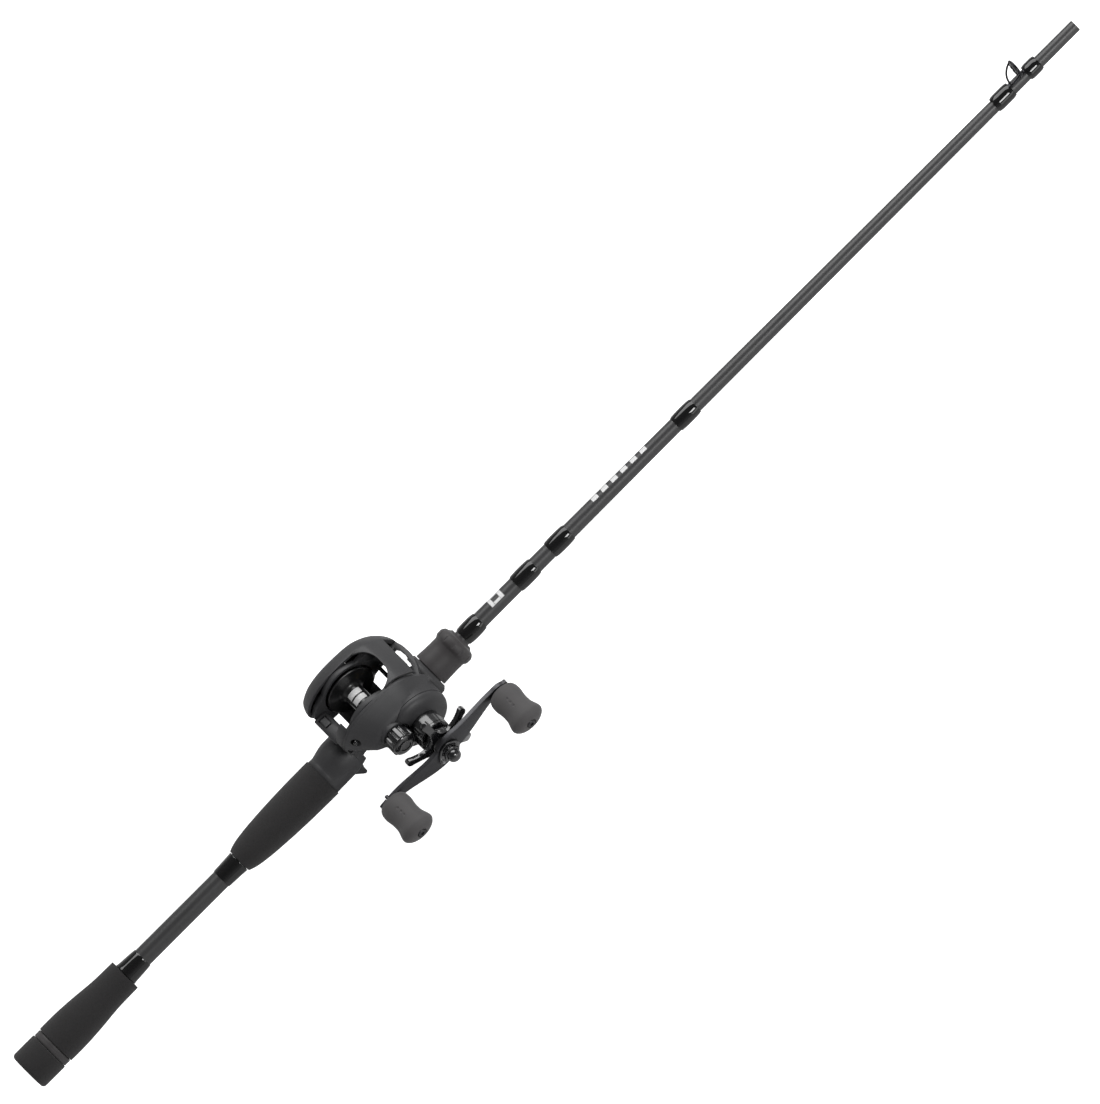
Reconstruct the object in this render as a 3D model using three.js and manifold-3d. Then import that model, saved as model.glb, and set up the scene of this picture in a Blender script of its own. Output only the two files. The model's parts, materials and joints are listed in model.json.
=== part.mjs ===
// A casting rod's handle section with a low-profile baitcasting reel on it, in millimetres.
// +X runs along the rod towards its tip, +Z is up on the reel's side, and the crank is on the -Y side.
// The origin is the centre of the butt cap's end face, on the rod's axis.
import * as THREE from "three";
import { mergeVertices } from "three/addons/utils/BufferGeometryUtils.js";
import Module from "manifold-3d";

const wasm = await Module();
wasm.setup();

// ---- Driving dimensions ----
const GAP = 0.3; // between pieces that touch
const ROUND = 14; // sides of a turned piece
const FINE = 20; // sides of a larger turned piece
const RING_SIDES = 56; // sides of the frame's rings

const ROD_LENGTH = 866.6;
const BLANK_WALL = 1.1;
const BLANK_TAPER = [
  // distance from the butt, outer radius
  [2.3, 6.1],
  [160, 6.0],
  [385, 5.2],
  [560, 4.55],
  [700, 4.15],
  [ROD_LENGTH, 3.8],
];

const SPOOL_AXIS = { x: 292, z: 28 };
const CRANK_AXIS = { x: 16, z: -10 }; // from the spool's axis
const WORM_AXIS = { x: 27.5, z: -3 }; // from the spool's axis

const GEAR_FACE = -27.9; // where the gear cover meets the handle cover, along Y
const COVER_SCREW = { x: -19.5, z: 7.2 }; // from the spool's axis

const PALM_WALL = [13.2, 16.4]; // the frame's two walls, from inner face to outer face, along Y
const HANDLE_WALL = [-15.1, -11.9];
const RING_OUTER = 18.9;
const RING_INNER = 17.1;
const BRIDGE = [-18.9, -17.1]; // under the spool, from underside to top
const SPOOL_RADIUS = 16.5;
const SPOOL_ENDS = [-11.2, 12.2];
const ARBOR_RADIUS = 6.3;
const SHAFT_RADIUS = 1.5;

const MAIN_TEETH = 63;
const PINION_TEETH = 10;
const GEAR_SPACING = Math.hypot(CRANK_AXIS.x, CRANK_AXIS.z);
const GEAR_MODULE = (2 * GEAR_SPACING) / (MAIN_TEETH + PINION_TEETH);
const COG_TEETH = 26;
const WORM_GEAR_TEETH = 16;
const COG_SPACING = Math.hypot(WORM_AXIS.x - CRANK_AXIS.x, WORM_AXIS.z - CRANK_AXIS.z);
const COG_MODULE = (2 * COG_SPACING) / (COG_TEETH + WORM_GEAR_TEETH);

const CARRIAGE_MIDDLE = 0.65; // halfway between the frame's walls

const KNOB_REACH = 45; // from the crank's axis to each knob's axis
const ARM_SWEEP = 3.4; // how far the arm's ends lie nearer the reel than its hub

const GUIDE = { x: 823, z: 13, ring: 5.6, wire: 0.75, lean: 0.18 };
const SEAT_TOP = 7.1; // the seat's platform under the reel's foot
const FOOT = { x0: 260, x1: 331, thickness: 1.4, half: 7 };

// ---- Finishes ----
const finish = (color, roughness, metalness = 0) =>
  new THREE.MeshStandardMaterial({ color, roughness, metalness });
const MATTE = finish(0x2a2a2b, 0.62);
const GRAPHITE = finish(0x26272a, 0.5);
const FOAM = finish(0x171616, 0.95);
const RUBBER = finish(0x2d2c2d, 0.85);
const SOFT_TOUCH = finish(0x2a2828, 0.7);
const EPOXY = finish(0x050506, 0.08);
const GLOSS_BLACK = finish(0x0b0b0d, 0.15, 0.3);
const ANODISED = finish(0x161618, 0.25, 0.8);
const GUNMETAL = finish(0x2e2e31, 0.35, 0.8);
const STEEL = finish(0xb8bac0, 0.25, 1);
const BRASS = finish(0xb08d46, 0.3, 1);
const ALUMINIUM = finish(0x9a9ca2, 0.35, 1);
const CERAMIC = finish(0x1b1c20, 0.2);
const CARBON = finish(0x1c1c1e, 0.8);

// ---- Making and cutting shapes ----
function solidOf(geometry) {
  const bare = geometry.index ? geometry.toNonIndexed() : geometry.clone();
  bare.deleteAttribute("normal");
  bare.deleteAttribute("uv");
  const merged = mergeVertices(bare, 1e-4);
  const vertProperties = merged.attributes.position.array;
  const triVerts = new Uint32Array(merged.index.array);
  return new wasm.Manifold(new wasm.Mesh({ numProp: 3, vertProperties, triVerts }));
}

function geometryOf(solid) {
  const mesh = solid.getMesh();
  const positions = new Float32Array(mesh.numVert * 3);
  for (let i = 0; i < mesh.numVert; i++) {
    positions.set(mesh.vertProperties.subarray(i * mesh.numProp, i * mesh.numProp + 3), i * 3);
  }
  const geometry = new THREE.BufferGeometry();
  geometry.setAttribute("position", new THREE.BufferAttribute(positions, 3));
  geometry.setIndex(new THREE.BufferAttribute(new Uint32Array(mesh.triVerts), 1));
  geometry.computeVertexNormals();
  return geometry;
}

// The first geometry, with those in add joined to it and those in cut taken out of it.
function carve(base, { add = [], cut = [] }) {
  let solid = solidOf(base);
  for (const piece of add) solid = solid.add(solidOf(piece));
  for (const piece of cut) solid = solid.subtract(solidOf(piece));
  return geometryOf(solid);
}

// A shape turned about Y from [along, radius] points. A profile that starts off the axis closes on itself.
function turned(points, sides = ROUND) {
  const loop = points[0][1] === 0 ? points : [...points, points[0]];
  const profile = loop.map(([along, radius]) => new THREE.Vector2(radius, along));
  if (THREE.ShapeUtils.area(profile) < 0) profile.reverse();
  return new THREE.LatheGeometry(profile, sides);
}

// The same shape with its axis along X.
const turnedX = (points, sides = ROUND) => turned(points, sides).rotateZ(-Math.PI / 2);

const disc = (y0, y1, radius, sides = ROUND) =>
  turned([[y0, 0], [y0, radius], [y1, radius], [y1, 0]], sides);

const washer = (y0, y1, outer, bore, sides = ROUND) =>
  turned([[y0, bore], [y0, outer], [y1, outer], [y1, bore]], sides);

function shapeOf(points) {
  const shape = points.map(([a, b]) => new THREE.Vector2(a, b));
  if (THREE.ShapeUtils.area(shape) < 0) shape.reverse();
  return new THREE.Shape(shape);
}

// A closed smooth outline through the points.
function smooth(points, count) {
  const through = points.map(([a, b]) => new THREE.Vector3(a, b, 0));
  const curve = new THREE.CatmullRomCurve3(through, true, "centripetal");
  return curve.getPoints(count).slice(0, -1).map((p) => [p.x, p.y]);
}

// An outline in X and Z, extruded along Y from y0 up to y1, with its edges bevelled inwards.
function plate(points, y0, y1, bevel = 0) {
  const made = new THREE.ExtrudeGeometry(shapeOf(points), {
    depth: y1 - y0 - 2 * bevel,
    bevelEnabled: bevel > 0,
    bevelThickness: bevel,
    bevelSize: bevel,
    bevelOffset: -bevel,
    bevelSegments: 1,
  });
  return made.rotateX(Math.PI / 2).translate(0, y1 - bevel, 0);
}

// An outline in X and Z carried through stations along Y, each scaled by sx and sz about the point x, z.
function lofted(points, stations) {
  const ordered = [...stations].sort((a, b) => b.y - a.y);
  const steps = stations.length - 1;
  const made = new THREE.ExtrudeGeometry(shapeOf(points), { depth: steps, steps, bevelEnabled: false });
  const position = made.attributes.position;
  for (let i = 0; i < position.count; i++) {
    const { y, sx, sz, x, z } = ordered[Math.round(position.getZ(i))];
    position.setXYZ(i, x + (position.getX(i) - x) * sx, y, z + (position.getY(i) - z) * sz);
  }
  return made;
}

// An outline in X and Y, extruded along Z from z0 up to z1.
const slab = (shape, z0, z1) =>
  new THREE.ExtrudeGeometry(shape, { depth: z1 - z0, bevelEnabled: false, curveSegments: 16 })
    .translate(0, 0, z0);

function box(x0, x1, y0, y1, z0, z1) {
  const made = new THREE.BoxGeometry(x1 - x0, y1 - y0, z1 - z0);
  return made.translate((x0 + x1) / 2, (y0 + y1) / 2, (z0 + z1) / 2);
}

const circle = (radius, sides, x = 0, z = 0) =>
  Array.from({ length: sides }, (_, i) => {
    const a = (2 * Math.PI * i) / sides;
    return [x + radius * Math.cos(a), z + radius * Math.sin(a)];
  });

// A round wire along a path of points.
function wire(points, radius, steps, sides = 8) {
  const path = new THREE.CatmullRomCurve3(points.map((p) => new THREE.Vector3(...p)));
  const section = shapeOf(circle(radius, sides));
  return new THREE.ExtrudeGeometry(section, { extrudePath: path, steps, bevelEnabled: false });
}

// A spur gear's outline in X and Z, with a tooth centred on angle phase.
function gearOutline(teeth, module, phase) {
  const pitch = (teeth * module) / 2;
  const root = pitch - 1.05 * module;
  const tip = pitch + 0.72 * module;
  const step = (2 * Math.PI) / teeth;
  const corners = [[-0.34, root], [-0.12, tip], [0.12, tip], [0.34, root]];
  const points = [];
  for (let i = 0; i < teeth; i++) {
    for (const [part, radius] of corners) {
      const a = phase + (i + part) * step;
      points.push([radius * Math.cos(a), radius * Math.sin(a)]);
    }
  }
  return points;
}

const root = new THREE.Group();

function addTo(group, name, geometry, material) {
  const mesh = new THREE.Mesh(geometry, material);
  mesh.name = name;
  group.add(mesh);
  return mesh;
}

// ---- The rod: blank, grips, seat and windings, along X ----
const rod = new THREE.Group();
root.add(rod);

function blankRadius(x) {
  const i = Math.max(1, BLANK_TAPER.findIndex(([at]) => at >= x));
  const [[x0, r0], [x1, r1]] = [BLANK_TAPER[i - 1], BLANK_TAPER[i]];
  return r0 + ((r1 - r0) * (x - x0)) / (x1 - x0);
}

function blank() {
  const outside = BLANK_TAPER.map(([x, r]) => [x, r]);
  const inside = BLANK_TAPER.map(([x, r]) => [x, r - BLANK_WALL]).reverse();
  return turnedX([...outside, ...inside]);
}

// A sleeve on the blank, with [x, radius] points for its outside.
function sleeve(points, sides = ROUND) {
  const ends = [points[points.length - 1][0], points[0][0]];
  const bends = BLANK_TAPER.map(([x]) => x).filter((x) => x > ends[1] && x < ends[0]).reverse();
  const inside = [ends[0], ...bends, ends[1]].map((x) => [x, blankRadius(x) + GAP]);
  return turnedX([...points, ...inside], sides);
}

// A thread winding under epoxy: a long low bulge that starts and ends near the blank's own radius.
function winding(x0, x1, peak) {
  const edge = (x) => blankRadius(x) + GAP + 0.15;
  const at = (t) => x0 + (x1 - x0) * t;
  const middle = [0.22, 0.5, 0.78].map((t) => [at(t), peak - (t === 0.5 ? 0 : 0.12)]);
  return sleeve([[x0, edge(x0)], ...middle, [x1, edge(x1)]]);
}

function buttCap() {
  const bore = 6.4;
  return turnedX([
    [0, 0], [0, 11.2], [0.5, 12.5], [1.6, 13.1], [17.8, 13.1], [17.8, bore], [2, bore], [2, 0],
  ]);
}

function buildRod() {
  addTo(rod, "blank", blank(), GRAPHITE);
  addTo(rod, "butt_cap", buttCap(), FOAM);
  addTo(rod, "butt_ring", sleeve([[18.1, 12.4], [18.5, 12.7], [22.1, 12.7], [22.5, 12.4]]), SOFT_TOUCH);
  addTo(rod, "butt_grip", sleeve([
    [22.8, 12.5], [23.6, 13.1], [34, 13.1], [43, 12.75], [51.7, 12.05], [59.5, 11.3], [67.3, 10.8], [80.4, 10.6],
  ]), FOAM);
  addTo(rod, "butt_winding", sleeve([[80.7, 7.6], [83, 7.4], [90.5, 6.95], [95, 6.5]]), EPOXY);
  addTo(rod, "grip_winding", sleeve([[160, 6.4], [165, 6.65], [171, 6.95], [174.6, 7.2]]), EPOXY);
  addTo(rod, "rear_grip", sleeve([
    [174.9, 7.9], [176.5, 8.5], [179, 9.3], [182.5, 10.1], [190, 11.1], [198, 11.75], [209, 12.4], [225, 12.95],
    [243.6, 13.1],
  ]), FOAM);
  addTo(rod, "seat_winding", winding(359.9, 374, 6.35), EPOXY);
  addTo(rod, "trim_winding_rear", winding(403.7, 419.3, 6.05), EPOXY);
  addTo(rod, "trim_winding_front", winding(431.9, 447.5, 5.95), EPOXY);
  addTo(rod, "label_winding", winding(536, 552, 5.55), EPOXY);
}

// The reel seat: a barrel round the blank, open below the reel, with a trigger and a fixed hood behind the foot.
function seatBody() {
  const platform = box(257, 334, -20, 20, SEAT_TOP, 30);
  const footPocket = box(FOOT.x0 - 0.6, 275, -FOOT.half - 0.6, FOOT.half + 0.6, SEAT_TOP, SEAT_TOP + 2.2);
  const bareBlank = box(270, 318, -20, 20, -20, 1.5);
  const barrel = turnedX([
    [243.9, 0], [243.9, 12.4], [247, 12.3], [262, 12.1], [268, 10.6], [272, 9.4], [330, 9.0], [352.5, 9.0],
    [352.5, 0],
  ], FINE);
  const hood = turnedX([
    [247, 0], [247, 12.2], [252, 13.6], [257, 14.5], [266, 14.5], [266.5, 13.9], [266.5, 0],
  ], FINE);
  const hoodTop = carve(hood, { cut: [box(240, 280, -20, 20, -20, 6)] });
  const trigger = plate(smooth([
    [246, -9], [251, -12.5], [257, -15.5], [261, -20], [265.5, -25], [267.5, -24.4], [266.8, -20],
    [266.5, -14], [268.5, -9], [262, -5], [252, -5],
  ], 40), -3.6, 3.6, 0.8);
  const bore = turnedX([[240, 0], [240, 8.2], [360, 8.2], [360, 0]]);
  const shell = carve(barrel, { add: [trigger], cut: [platform] });
  return carve(shell, { add: [hoodTop], cut: [footPocket, bareBlank, bore] });
}

// Foam packing that centres the seat on the blank.
function seatArbor() {
  const ring = sleeve([[244.2, 7.9], [352.2, 7.9]]);
  return carve(ring, { cut: [box(256, 335, -20, 20, SEAT_TOP - GAP, 30), box(269.7, 318.3, -20, 20, -20, 1.8)] });
}

function clampHood() {
  const ring = turnedX([
    [327.4, 9.3], [327.4, 14.0], [328, 14.5], [330, 14.4], [332.4, 12.4], [332.4, 9.3],
  ], FINE);
  return carve(ring, {
    cut: [box(326, 331.8, -FOOT.half - 0.6, FOOT.half + 0.6, SEAT_TOP - 1, SEAT_TOP + 2.2)],
  });
}

function lockNut() {
  const threadBore = 9.3;
  const noseBore = 6.7;
  return turnedX([
    [332.8, threadBore], [332.8, 11.3], [333.4, 11.6], [338, 11.3], [344, 11.1], [349, 11.3], [350.2, 12.3],
    [354.4, 12.5], [355.6, 11.6], [356.4, 11.0], [357, 9.2], [358.6, 7.6], [358.6, noseBore], [353, noseBore],
    [353, threadBore],
  ], FINE);
}

// The first line guide: a leaning wire ring on two rear legs and one front leg, wound on by its feet.
function guideFrame() {
  const { x, z, ring, wire: r, lean } = GUIDE;
  const onRing = (angle) => [
    x + Math.sin(lean) * ring * Math.sin(angle),
    ring * Math.cos(angle),
    z + Math.cos(lean) * ring * Math.sin(angle),
  ];
  const hoop = new THREE.TorusGeometry(ring, r, 6, 24).rotateY(Math.PI / 2).rotateY(lean).translate(x, 0, z);
  const top = blankRadius(x) + GAP;
  const legs = [-1, 1].map((side) => {
    const [hx, hy, hz] = onRing(Math.PI / 2 - side * 1.45);
    return wire([[hx, hy, hz], [x - 4, side * 3.2, z - 4], [x - 7.8, side * 0.5, top + 0.8]], r * 0.85, 5, 6);
  });
  const [bx, , bz] = onRing(-Math.PI / 2);
  const front = wire([[bx, 0, bz], [x + 0.8, 0, z - ring - 1.4], [x + 2.4, 0, top + 0.7]], r * 0.85, 4, 6);
  const rearFoot = box(x - 22, x - 7.4, -1, 1, top + 0.1, top + 0.8);
  const frontFoot = box(x + 1.8, x + 11.5, -1, 1, top + 0.1, top + 0.8);
  return carve(hoop, { add: [...legs, front, rearFoot, frontFoot] });
}

function guideInsert() {
  const { x, z, ring, wire: r, lean } = GUIDE;
  const outer = ring - r - GAP;
  const bead = turned([[-1.1, outer - 1], [-1.1, outer - 0.4], [-0.5, outer], [0.5, outer], [1.1, outer - 0.4],
    [1.1, outer - 1]], 24);
  return bead.rotateZ(Math.PI / 2).rotateY(lean).translate(x, 0, z);
}

// A winding over a guide's foot: thicker on top, with a slot left for the foot.
function footWinding(x0, x1, peak) {
  const slope = 1.6;
  const lift = 0.5;
  const lump = turnedX([
    [x0, 0], [x0, peak - 0.5], [x0 + slope, peak], [x1 - slope, peak], [x1, peak - 0.5], [x1, 0],
  ]);
  const bore = blankRadius(x0) + GAP;
  const slot = box(x0 - 3, x1 + 3, -1.3, 1.3, 0, bore + 1.1);
  const blankRoom = turnedX([[x0 - 1, 0], [x0 - 1, bore], [x1 + 1, bore], [x1 + 1, 0]]);
  return carve(lump.translate(0, 0, lift), { cut: [blankRoom, slot] });
}

function buildSeatAndGuide() {
  addTo(rod, "seat_body", seatBody(), MATTE);
  addTo(rod, "seat_arbor", seatArbor(), CARBON);
  addTo(rod, "clamp_hood", clampHood(), MATTE);
  addTo(rod, "lock_nut", lockNut(), SOFT_TOUCH);
  addTo(rod, "guide_frame", guideFrame(), ANODISED);
  addTo(rod, "guide_insert", guideInsert(), CERAMIC);
  addTo(rod, "guide_winding_rear", footWinding(799.7, 813.6, 5.3), EPOXY);
  addTo(rod, "guide_winding_front", footWinding(826, 836, 5.25), EPOXY);
}

// ---- The reel: everything below is placed from the spool's axis ----
const reel = new THREE.Group();
reel.position.set(SPOOL_AXIS.x, 0, SPOOL_AXIS.z);
root.add(reel);

// The outline both side covers share where they meet the frame.
const BODY_OUTLINE = smooth([
  [-28, 6], [-20, 14.5], [-10, 18.6], [0, 19.8], [10, 19.5], [18, 18.4], [24.5, 15.9], [30, 11.2], [34.2, 5.6],
  [37.4, -1], [38.4, -5.5], [36.5, -9.2], [29, -11], [20, -12.5], [13, -15.5], [4, -18.3], [-6, -18.2],
  [-14, -15.2], [-21, -9], [-27, -2],
], 40);

// The two posts the clutch yoke slides on, either side of the spool's axis.
const POST_REACH = 7.4;
const YOKE_ANGLE = Math.atan2(CRANK_AXIS.x, -CRANK_AXIS.z);
const postPlace = (side) => [
  side * POST_REACH * Math.cos(YOKE_ANGLE), side * POST_REACH * Math.sin(YOKE_ANGLE),
];

// The space the yoke sweeps, cleared out of the covers.
function yokeRoom() {
  const swept = [[-10, -2.9], [10, -2.9], [10, 2.9], [4.2, 5.2], [-4.2, 5.2], [-10, 2.9]];
  return plate(swept, -28.5, -14).rotateY(-YOKE_ANGLE);
}

// The bar across the frame's nose, bowed forwards.
function noseBar() {
  const outer = [
    [28, 16.4], [38.2, 16.4], [39.6, 11], [40, 5], [39.2, -1], [37.6, -6], [35.2, -10.5], [31, -15.1],
  ];
  const inner = [
    [26, -15.1], [26, -12.3], [31.8, -12.3], [33.2, -8.8], [34.8, -4.6], [36.2, 0], [36.9, 5], [36.4, 11],
    [35.2, 13.4], [28, 13.4],
  ];
  return slab(shapeOf([...outer, ...inner]), -8, -4.2);
}

// The one-piece frame: two walls joined under, behind and in front of the spool, and a nose bar.
function reelFrame() {
  const arms = [[-27, 3.5], [-22, 9], [-15, 12], [20, 14], [27, 10], [32, 3.5], [34, -3], [33.5, -8], [20, -9],
    [10, -12], [-12, -12], [-20, -11.5], [-27, -9]];
  const tail = [[-27.5, 2], [-24, 8.5], [-20, 12.6], [-17.6, 13.6], [-17.6, -8], [-26.8, -8]];
  const wallOf = ([a, b]) => [plate(circle(RING_OUTER, RING_SIDES), a, b), plate(arms, a, b)];
  const [palmRing, palmArm] = wallOf(PALM_WALL);
  const [handleRing, handleArm] = wallOf(HANDLE_WALL);
  const across = (x0, x1, z0, z1) => box(x0, x1, HANDLE_WALL[0] + 1, PALM_WALL[1] - 1, z0, z1);
  const bridge = box(-15, 12.6, HANDLE_WALL[0], PALM_WALL[1], ...BRIDGE);
  const crossBars = [across(-26.5, -23, -10.8, -8.4), across(19.6, 22, -9, -6)];
  const yokePosts = [-1, 1].map((side) => {
    const [x, z] = postPlace(side);
    return disc(-28.2, HANDLE_WALL[0] + 1, 1, 12).translate(x, 0, z);
  });
  const spoolBore = disc(PALM_WALL[0] - 1, PALM_WALL[1] + 1, RING_INNER, RING_SIDES);
  const pinionHole = disc(HANDLE_WALL[0] - 1, HANDLE_WALL[1] + 1, 5.9);
  const shaftHole = disc(HANDLE_WALL[0] - 1, HANDLE_WALL[1] + 1, 3).translate(CRANK_AXIS.x, 0, CRANK_AXIS.z);
  const wormHoles = disc(-20, PALM_WALL[1] - 1.2, 2.4, 16).translate(WORM_AXIS.x, 0, WORM_AXIS.z);
  const screwHole = disc(-20, HANDLE_WALL[0] + 0.9, 1.3, 12).translate(COVER_SCREW.x, 0, COVER_SCREW.z);
  const slot = box(-26.4, -20.6, HANDLE_WALL[0] - 1, -7, -7.4, 1.4);
  return carve(palmRing, {
    add: [palmArm, handleRing, handleArm, plate(tail, HANDLE_WALL[0], -8.2), bridge, ...crossBars, noseBar(),
      ...yokePosts],
    cut: [spoolBore, pinionHole, shaftHole, wormHoles, screwHole, slot],
  });
}

function reelFoot() {
  const z1 = BRIDGE[0] - GAP;
  const z0 = z1 - FOOT.thickness;
  const shape = new THREE.Shape();
  const [a, b, h] = [FOOT.x0 - SPOOL_AXIS.x, FOOT.x1 - SPOOL_AXIS.x, FOOT.half];
  shape.moveTo(a + 9, -h);
  shape.lineTo(b - 9, -h);
  shape.bezierCurveTo(b - 3, -h, b, -4.5, b, 0);
  shape.bezierCurveTo(b, 4.5, b - 3, h, b - 9, h);
  shape.lineTo(a + 9, h);
  shape.bezierCurveTo(a + 3, h, a, 4.5, a, 0);
  shape.bezierCurveTo(a, -4.5, a + 3, -h, a + 9, -h);
  return slab(shape, z0, z1);
}

// The front cowl over the line guide, its rear edge rounded to clear the thumb.
function frontCowl() {
  const top = [[14, 19.0], [20, 18.4], [24.5, 17.0], [29.5, 13.0], [34, 8.2]];
  const under = [[33.3, 7.0], [28.9, 11.5], [24, 15.4], [19.6, 16.8], [13.8, 17.4]];
  const band = plate([...top, ...under], HANDLE_WALL[0], PALM_WALL[1], 0);
  const thumbRoom = new THREE.Shape().absellipse(0, 0.65, 24.4, 21.3, 0, 2 * Math.PI, false);
  return carve(band, { cut: [slab(thumbRoom, -5, 40)] });
}

// How each cover draws in towards its outer face: where along Y, and the outline's scale there.
const station = (x, z) => ([y, sx, sz]) => ({ y, sx, sz, x, z });
const PALM_STATIONS = [
  [16.7, 1, 1], [19, 0.99, 0.965], [22, 0.96, 0.9], [25.5, 0.895, 0.8], [27.6, 0.78, 0.67], [28.6, 0.62, 0.52],
].map(station(-2, 0));
const HANDLE_STATIONS = [
  [-15.4, 0.96, 0.945], [-17.4, 0.955, 0.93], [-22.7, 0.82, 0.75], [-29, 0.685, 0.58], [-30.6, 0.6, 0.48],
].map(station(14, -3));
const WALL = 1.6;

// The same stations drawn in by the wall's thickness, for the hollow side of a cover.
const hollowed = (stations) => {
  const out = Math.sign(stations[0].y);
  return stations.map((st, i) => ({
    ...st,
    y: i === 0 ? st.y - out * 2 : st.y - out * WALL,
    sx: st.sx - WALL / 24,
    sz: st.sz - WALL / 18,
  }));
};

function palmCover() {
  const outer = lofted(BODY_OUTLINE, PALM_STATIONS);
  const inner = lofted(BODY_OUTLINE, hollowed(PALM_STATIONS));
  return carve(outer, { cut: [inner, disc(24, 32, 8.7, FINE)] });
}

function handleCover() {
  const atCrank = (geometry) => geometry.translate(CRANK_AXIS.x, 0, CRANK_AXIS.z);
  const outer = carve(lofted(BODY_OUTLINE, HANDLE_STATIONS), { add: [atCrank(disc(GEAR_FACE, -15.4, 20.4, 32))] });
  const inner = lofted(BODY_OUTLINE, hollowed(HANDLE_STATIONS));
  const gearRoom = atCrank(disc(GEAR_FACE - 1, -10, 19.1, 32));
  const coverSeat = atCrank(disc(-40, GEAR_FACE, 20.5, 32));
  const collar = disc(-32.2, -28.8, 9.2, FINE);
  const threaded = disc(-39.5, -28.8, 6.2, FINE);
  const bore = turned([[-50, 0], [-50, 1.9], [-36.5, 1.9], [-36.5, 4.3], [-20, 4.3], [-20, 0]]);
  const screwWell = disc(-40, -10, 2.3, 12).translate(COVER_SCREW.x, 0, COVER_SCREW.z);
  const tabRoom = box(-26.4, -20.6, -17.9, -10, -7.4, 1.4);
  const shell = carve(outer, { cut: [inner, gearRoom, coverSeat] });
  return carve(shell, { add: [collar, threaded], cut: [bore, yokeRoom(), screwWell, tabRoom] });
}

// The domed cover over the drive gear, with the boss that holds the one-way bearing. Local axis: the crank's.
function gearCover() {
  const seat = GEAR_FACE - GAP;
  const outside = [[seat, 20.2], [-29.5, 20.2], [-31.5, 19.4], [-33.2, 16.5], [-34.6, 10.7], [-45.6, 10.5]];
  const inside = [[-45.6, 5.8], [-44.4, 5.8], [-44.4, 8.6], [-33.6, 8.6], [-31.9, 15.4], [-30.3, 18.0],
    [seat, 18.4]];
  const room = [disc(-50, -10, 9.6, FINE), yokeRoom()];
  const fromSpool = room.map((piece) => piece.translate(-CRANK_AXIS.x, 0, -CRANK_AXIS.z));
  return carve(turned([...outside, ...inside], 32), { cut: fromSpool });
}

function bearingPlate() {
  const slotArc = new THREE.Shape();
  slotArc.absarc(0, 0, 8.6, 0.7, 5.6, false);
  slotArc.absarc(0, 0, 6.6, 5.6, 0.7, true);
  const slotCut = new THREE.ExtrudeGeometry(slotArc, { depth: 12, bevelEnabled: false, curveSegments: 20 });
  slotCut.rotateX(Math.PI / 2).translate(0, 26, 0);
  const plateDisc = washer(18.4, 19.8, 14.5, 1.9, FINE);
  const hub = washer(14.6, 19, 6.2, 4.5);
  const seat = disc(10, 18.1, 4.5);
  return carve(plateDisc, { add: [hub], cut: [slotCut, seat] });
}

function screw(length, head, sides = 16) {
  const made = turned([[0, 0], [0, 1.0], [-length, 1.0], [-length, head], [-length - 1.1, head * 0.8],
    [-length - 1.1, 0]], sides);
  const slot = box(-head, head, -length - 2, -length - 0.7, -0.25, 0.25);
  return carve(made, { cut: [slot] });
}

function buildReelBody() {
  addTo(reel, "reel_frame", reelFrame(), GLOSS_BLACK);
  addTo(reel, "reel_foot", reelFoot(), ANODISED);
  addTo(reel, "front_cowl", frontCowl(), MATTE);
  addTo(reel, "palm_cover", palmCover(), MATTE);
  addTo(reel, "handle_cover", handleCover(), MATTE);
  addTo(crank, "gear_cover", gearCover(), MATTE);
  addTo(reel, "bearing_plate", bearingPlate(), CARBON);
  addTo(reel, "spool_bearing", washer(14.9, 17.8, 4.2, SHAFT_RADIUS + GAP), STEEL);
  addTo(reel, "pinion_bearing", washer(HANDLE_WALL[0] + 0.1, HANDLE_WALL[1], 5.5, 3.0), STEEL);
  addTo(reel, "end_bearing", washer(-36.2, -33.8, 4.0, SHAFT_RADIUS + GAP), STEEL);
  addTo(reel, "cover_screw", screw(6.5, 1.9), GLOSS_BLACK).position.set(COVER_SCREW.x, -14.5, COVER_SCREW.z);
}

// ---- Spool ----
function spoolBody() {
  const [a, b] = SPOOL_ENDS;
  return turned([
    [a, 2.1], [a, 13], [a, SPOOL_RADIUS - 0.4], [a + 0.5, SPOOL_RADIUS], [a + 1.1, SPOOL_RADIUS], [a + 1.6, 9],
    [a + 4, ARBOR_RADIUS], [b - 4, ARBOR_RADIUS], [b - 1.6, 9], [b - 1.1, SPOOL_RADIUS], [b - 0.5, SPOOL_RADIUS],
    [b, SPOOL_RADIUS - 0.4], [b, 14.2], [b + 2.6, 14.2], [b + 2.6, 13.2], [b, 13.2], [b - 0.6, 7],
    [b - 3, 4.4], [b - 3, 2.1],
  ], FINE);
}

function spoolShaft() {
  const r = SHAFT_RADIUS;
  return turned([[-40.4, 0], [-40.4, 0.9], [-39.6, r], [-12, r], [-11.4, 1.8], [10, 1.8], [12, r], [19.6, r],
    [20.2, 0.9], [20.2, 0]], 16);
}

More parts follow.
